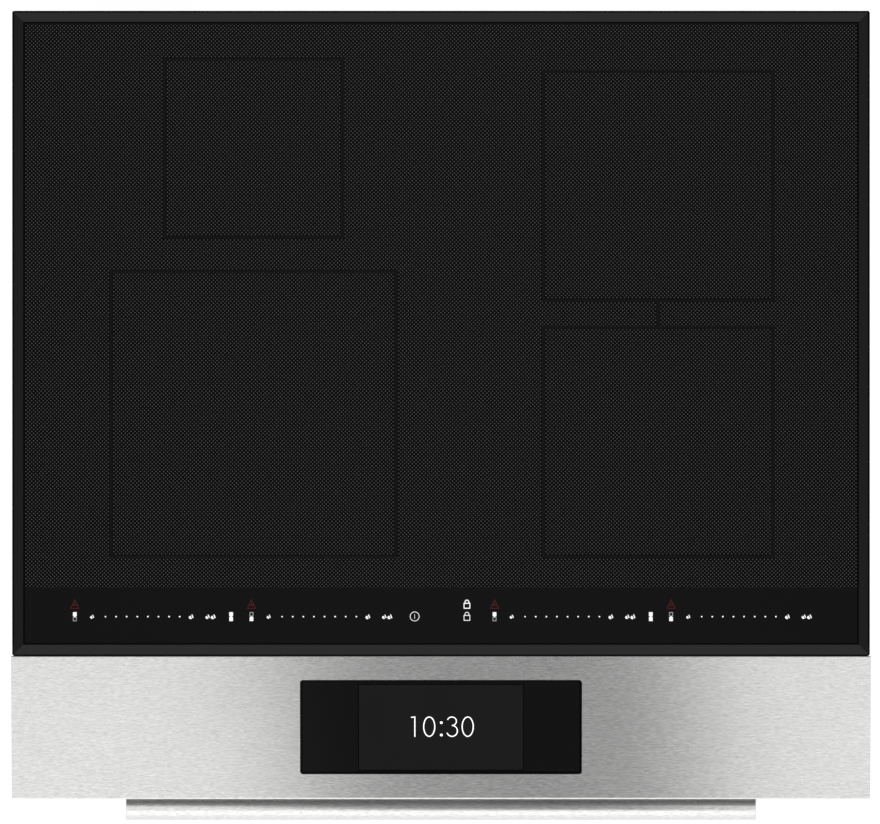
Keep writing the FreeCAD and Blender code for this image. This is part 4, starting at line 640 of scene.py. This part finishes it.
def on_display():
    """A plane on the display glass, X along the fascia and Y up its slope."""
    uphill = SLOPE.cross(Vector((1, 0, 0)))
    origin = (display_low + display_high) / 2 + SLOPE * (DISPLAY_THICK / 2 + Print.LIFT)
    return Matrix(
        (
            (1.0, uphill.x, SLOPE.x, origin.x),
            (0.0, uphill.y, SLOPE.y, origin.y),
            (0.0, uphill.z, SLOPE.z, origin.z),
            (0.0, 0.0, 0.0, 1.0),
        )
    )


def clock_digits():
    """The time in thin round figures: a one, a nought, a colon, a three and a nought."""
    up = 0.4 * MM
    drawing = Print("clock_digits", DIGIT_LIGHT, on_display() @ Matrix.Translation((0, up, 0)))
    tall, line = 19.3 * MM, 1.0 * MM
    half = tall / 2 - line / 2
    one, flag, flag_drop = -23.1 * MM, 3.4 * MM, 0.4 * MM
    drawing.stroke(((one - flag, half - flag_drop), (one, half), (one, -half - line / 2)), line)
    nought_reach = 4.9 * MM
    for nought in (-10.4 * MM, 23.6 * MM):
        drawing.arc(nought, 0.0, nought_reach, line, 0, 360, half, 40)
    colon, dot_radius = 0.3 * MM, 1.25 * MM
    for v in (-7.9 * MM, 3.8 * MM):
        drawing.disc(colon, v, dot_radius)
    three = 10.0 * MM
    upper, lower = half * 0.44, half * 0.56
    drawing.arc(three - 0.4 * MM, half - upper, 4.0 * MM, line, 160, -90, upper, 26)
    drawing.arc(three - 0.2 * MM, -half + lower, 4.7 * MM, line, 90, -160, lower, 30)
    drawing.build()


# ---------------------------------------------------------------- sensor springs

SPRING_WIRE = 0.6 * MM
SPRING_TURNS = 5
SPRING_STEPS, SPRING_SIDES = 32, 10  # steps in a turn, and sides of the wire


def sensor_spring(zone):
    """A compression spring with a closed turn at each end."""
    node, joint_name = f"sensor_spring_{zone}", f"sensor_press_{zone}"
    low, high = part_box(node)
    middle, tall = (low + high) / 2, high.z - low.z
    radius = (high.x - low.x - SPRING_WIRE) / 2
    rise, closed = tall - SPRING_WIRE, SPRING_WIRE * 1.05

    def height(turn):
        """The wire's height after some turns. The end turns rise by little more than the wire."""
        if turn <= 1:
            return closed * turn
        if turn >= SPRING_TURNS - 1:
            return rise - closed * (SPRING_TURNS - turn)
        return closed + (rise - 2 * closed) * (turn - 1) / (SPRING_TURNS - 2)

    mesh = bmesh.new()
    rings = []
    for i in range(SPRING_TURNS * SPRING_STEPS + 1):
        turn = i / SPRING_STEPS
        out = Vector((math.cos(2 * math.pi * turn), math.sin(2 * math.pi * turn), 0))
        centre = Vector((middle.x, middle.y, low.z + SPRING_WIRE / 2 + height(turn))) + out * radius
        ring = []
        for k in range(SPRING_SIDES):
            around = 2 * math.pi * k / SPRING_SIDES
            reach = out * math.cos(around) + Vector((0, 0, math.sin(around)))
            ring.append(mesh.verts.new(centre + reach * SPRING_WIRE / 2))
        rings.append(ring)
    for ring, following in zip(rings, rings[1:]):
        for k in range(SPRING_SIDES):
            after = (k + 1) % SPRING_SIDES
            mesh.faces.new((ring[k], ring[after], following[after], following[k])).smooth = True
    mesh.faces.new(rings[0])
    mesh.faces.new(rings[-1])
    bmesh.ops.recalc_face_normals(mesh, faces=mesh.faces)
    data = bpy.data.meshes.new(f"spring_coil_{zone}")
    mesh.to_mesh(data)
    mesh.free()
    data.materials.append(MATERIALS["spring_steel"])
    spring = place_object(f"spring_coil_{zone}", data)
    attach(spring, ROOT)
    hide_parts(node)
    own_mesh(spring)


# ---------------------------------------------------------------- scenery

FLOOR_REACH = 60.0
ROOM_TONES = (  # height of the direction, from level at 0 to straight up at 1, and tone
    (0.0, 1.0),
    (0.012, 0.22),
    (0.3, 0.26),
    (0.5, 0.42),
    (0.72, 0.78),
    (0.89, 0.5),
    (0.965, 0.16),
    (1.0, 0.09),
)
PHOTO_WIDE, OBJECT_WIDE = 880, 860  # the photograph and the object in it, in pixels


def floor():
    """A glowing white floor. Under the object and close round its foot it hardly glows: a painted shadow."""
    ground = bpy.data.meshes.new("floor")
    reach = FLOOR_REACH
    corners = [(-reach, -reach, 0), (reach, -reach, 0), (reach, reach, 0), (-reach, reach, 0)]
    ground.from_pydata(corners, [], [(0, 1, 2, 3)])
    item = place_object("floor", ground)
    paint = Shader("floor_paint", Roughness=0.9, Base_Color=grey(0.3), Emission_Color=grey(1.0))
    x, y, _ = paint.parts(paint.place)
    foot_low, foot_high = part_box("base_pan")
    away = []
    for value, inner_low, inner_high, outer_low, outer_high in (
        (x, foot_low.x, foot_high.x, cad_low.x, cad_high.x),
        (y, foot_low.y, foot_high.y, fascia_low.y, cad_high.y),
    ):
        away.append(paint.spread(value, 0.0, 1.0, inner_high, outer_high))
        away.append(paint.spread(value, 0.0, 1.0, inner_low, outer_low))
    # The weaker glow near the foot is a painted shadow.
    glow = paint.spread(paint.fold("MAXIMUM", away), 0.12, 0.88)
    paint.feed(paint.main.inputs["Emission Strength"], glow)
    ground.materials.append(paint.material)


def room():
    """A pale room that is dark straight overhead, so that the flat glass mirrors black."""
    world = bpy.data.worlds.new("room")
    bpy.context.scene.world = world
    world.use_nodes = True
    sky = Nodes(world.node_tree)
    x, y, z = sky.parts(sky.node("ShaderNodeTexCoord").outputs["Generated"])
    ramp = sky.node("ShaderNodeValToRGB", {"Fac": z})
    while len(ramp.color_ramp.elements) < len(ROOM_TONES):
        ramp.color_ramp.elements.new(0.5)
    for element, (where, tone) in zip(ramp.color_ramp.elements, ROOM_TONES):
        element.position = where
        element.color = grey(tone)

    # The room is also darker to the left and right high up, so that the side bevels stay dark.
    share, never_zero = 0.66, 0.0001
    x2, y2 = sky.maths("MULTIPLY", x, x), sky.maths("MULTIPLY", y, y)
    sideways = sky.maths("DIVIDE", x2, sky.maths("ADD", sky.maths("ADD", x2, y2), never_zero))
    high_up = sky.spread(z, 0.0, 1.0, 0.78, 0.88)
    keep = sky.maths("SUBTRACT", 1.0, sky.maths("MULTIPLY", sky.maths("MULTIPLY", sideways, high_up), share))
    scaled = sky.node("ShaderNodeVectorMath", {0: ramp.outputs["Color"], "Scale": keep}, operation="SCALE")
    sky.feed(sky.tree.nodes["Background"].inputs["Color"], scaled.outputs[0])


def card(name, middle, reach_up, low, high, glow, fade, lean=0.0):
    """A glowing card from low to high across.

    Its strength runs between the two values of glow over the two places of fade, shifted with height by lean.
    """
    corners = [
        middle + Vector((x, 0, 0)) + reach_up * v for x, v in ((low, -1), (high, -1), (high, 1), (low, 1))
    ]
    data = bpy.data.meshes.new(name)
    data.from_pydata([tuple(c) for c in corners], [], [(0, 1, 2, 3)])
    sheet = place_object(name, data)
    light = bpy.data.materials.new(name)
    light.use_nodes = True
    light.node_tree.nodes.clear()
    tree = Nodes(light.node_tree)
    x, _, z = tree.parts(tree.node("ShaderNodeTexCoord").outputs["Object"])
    across = tree.maths("ADD", x, tree.maths("MULTIPLY_ADD", z, lean, -lean * middle.z))
    strength = tree.spread(across, *glow, *fade, interpolation_type="SMOOTHSTEP")
    emit = tree.node("ShaderNodeEmission", {"Strength": strength})
    tree.node("ShaderNodeOutputMaterial", {"Surface": emit.outputs[0]})
    data.materials.append(light)
    sheet.visible_camera = False


def softbox(name, **strength):
    """A glowing card where the sloping fascia mirrors it to the camera overhead."""
    centre = (fascia_low + fascia_high) / 2
    mirrored = 2 * SLOPE.z * SLOPE - Vector((0, 0, 1))
    away, half = 1.15, 0.27
    up = Vector((1, 0, 0)).cross(mirrored).normalized()
    card(name, centre + mirrored * away, up * half, **strength)


def lamp(name, at, size, power):
    """A square lamp that shines on the origin. The glass doesn't mirror it."""
    data = bpy.data.lights.new(name, "AREA")
    data.shape, data.size, data.energy = "SQUARE", size, power
    item = place_object(name, data)
    item.location = at
    item.rotation_mode = "QUATERNION"
    item.rotation_quaternion = Vector(at).to_track_quat("Z", "Y")
    item.visible_camera = False
    item.visible_glossy = False


def camera():
    """Straight down from far away with a long lens, so that the view is nearly free of perspective."""
    data = bpy.data.cameras.new("camera")
    data.lens, data.sensor_width = 1500.0, 36.0
    data.clip_start, data.clip_end = 1.0, 200.0
    item = place_object("camera", data)
    plan = cad_high - cad_low
    framed = plan.x * PHOTO_WIDE / OBJECT_WIDE
    off_x, off_y = -plan.x * 0.00116, plan.y * 0.0049
    middle = (cad_low + cad_high) / 2
    item.location = (middle.x + off_x, middle.y + off_y, GLASS_TOP + framed * data.lens / data.sensor_width)
    bpy.context.scene.camera = item


finish_cad()
touch_row()
clock_digits()
for zone in COILS:
    sensor_spring(zone)

floor()
room()
softbox("softbox_left", low=-1.3, high=0.05, glow=(1.14, 0.32), fade=(-0.212, -0.06), lean=0.4)
softbox("softbox_right", low=0.05, high=1.3, glow=(0.32, 1.12), fade=(0.168, 0.305), lean=0.25)
card(
    "front_card",
    middle=Vector((0, -1.3, 0.4)),
    reach_up=Vector((0, 0, 0.35)),
    low=-0.62,
    high=0.62,
    glow=(1.5, 1.5),
    fade=(-1.0, 1.0),
)
lamp("key_left", at=(-2.6, -1.6, 1.9), size=1.6, power=44)
lamp("key_right", at=(2.6, -1.2, 1.9), size=1.6, power=38)
lamp("rim_back", at=(0.6, 3.0, 1.4), size=2.0, power=24)
camera()
bpy.context.scene.view_settings.view_transform = "Standard"
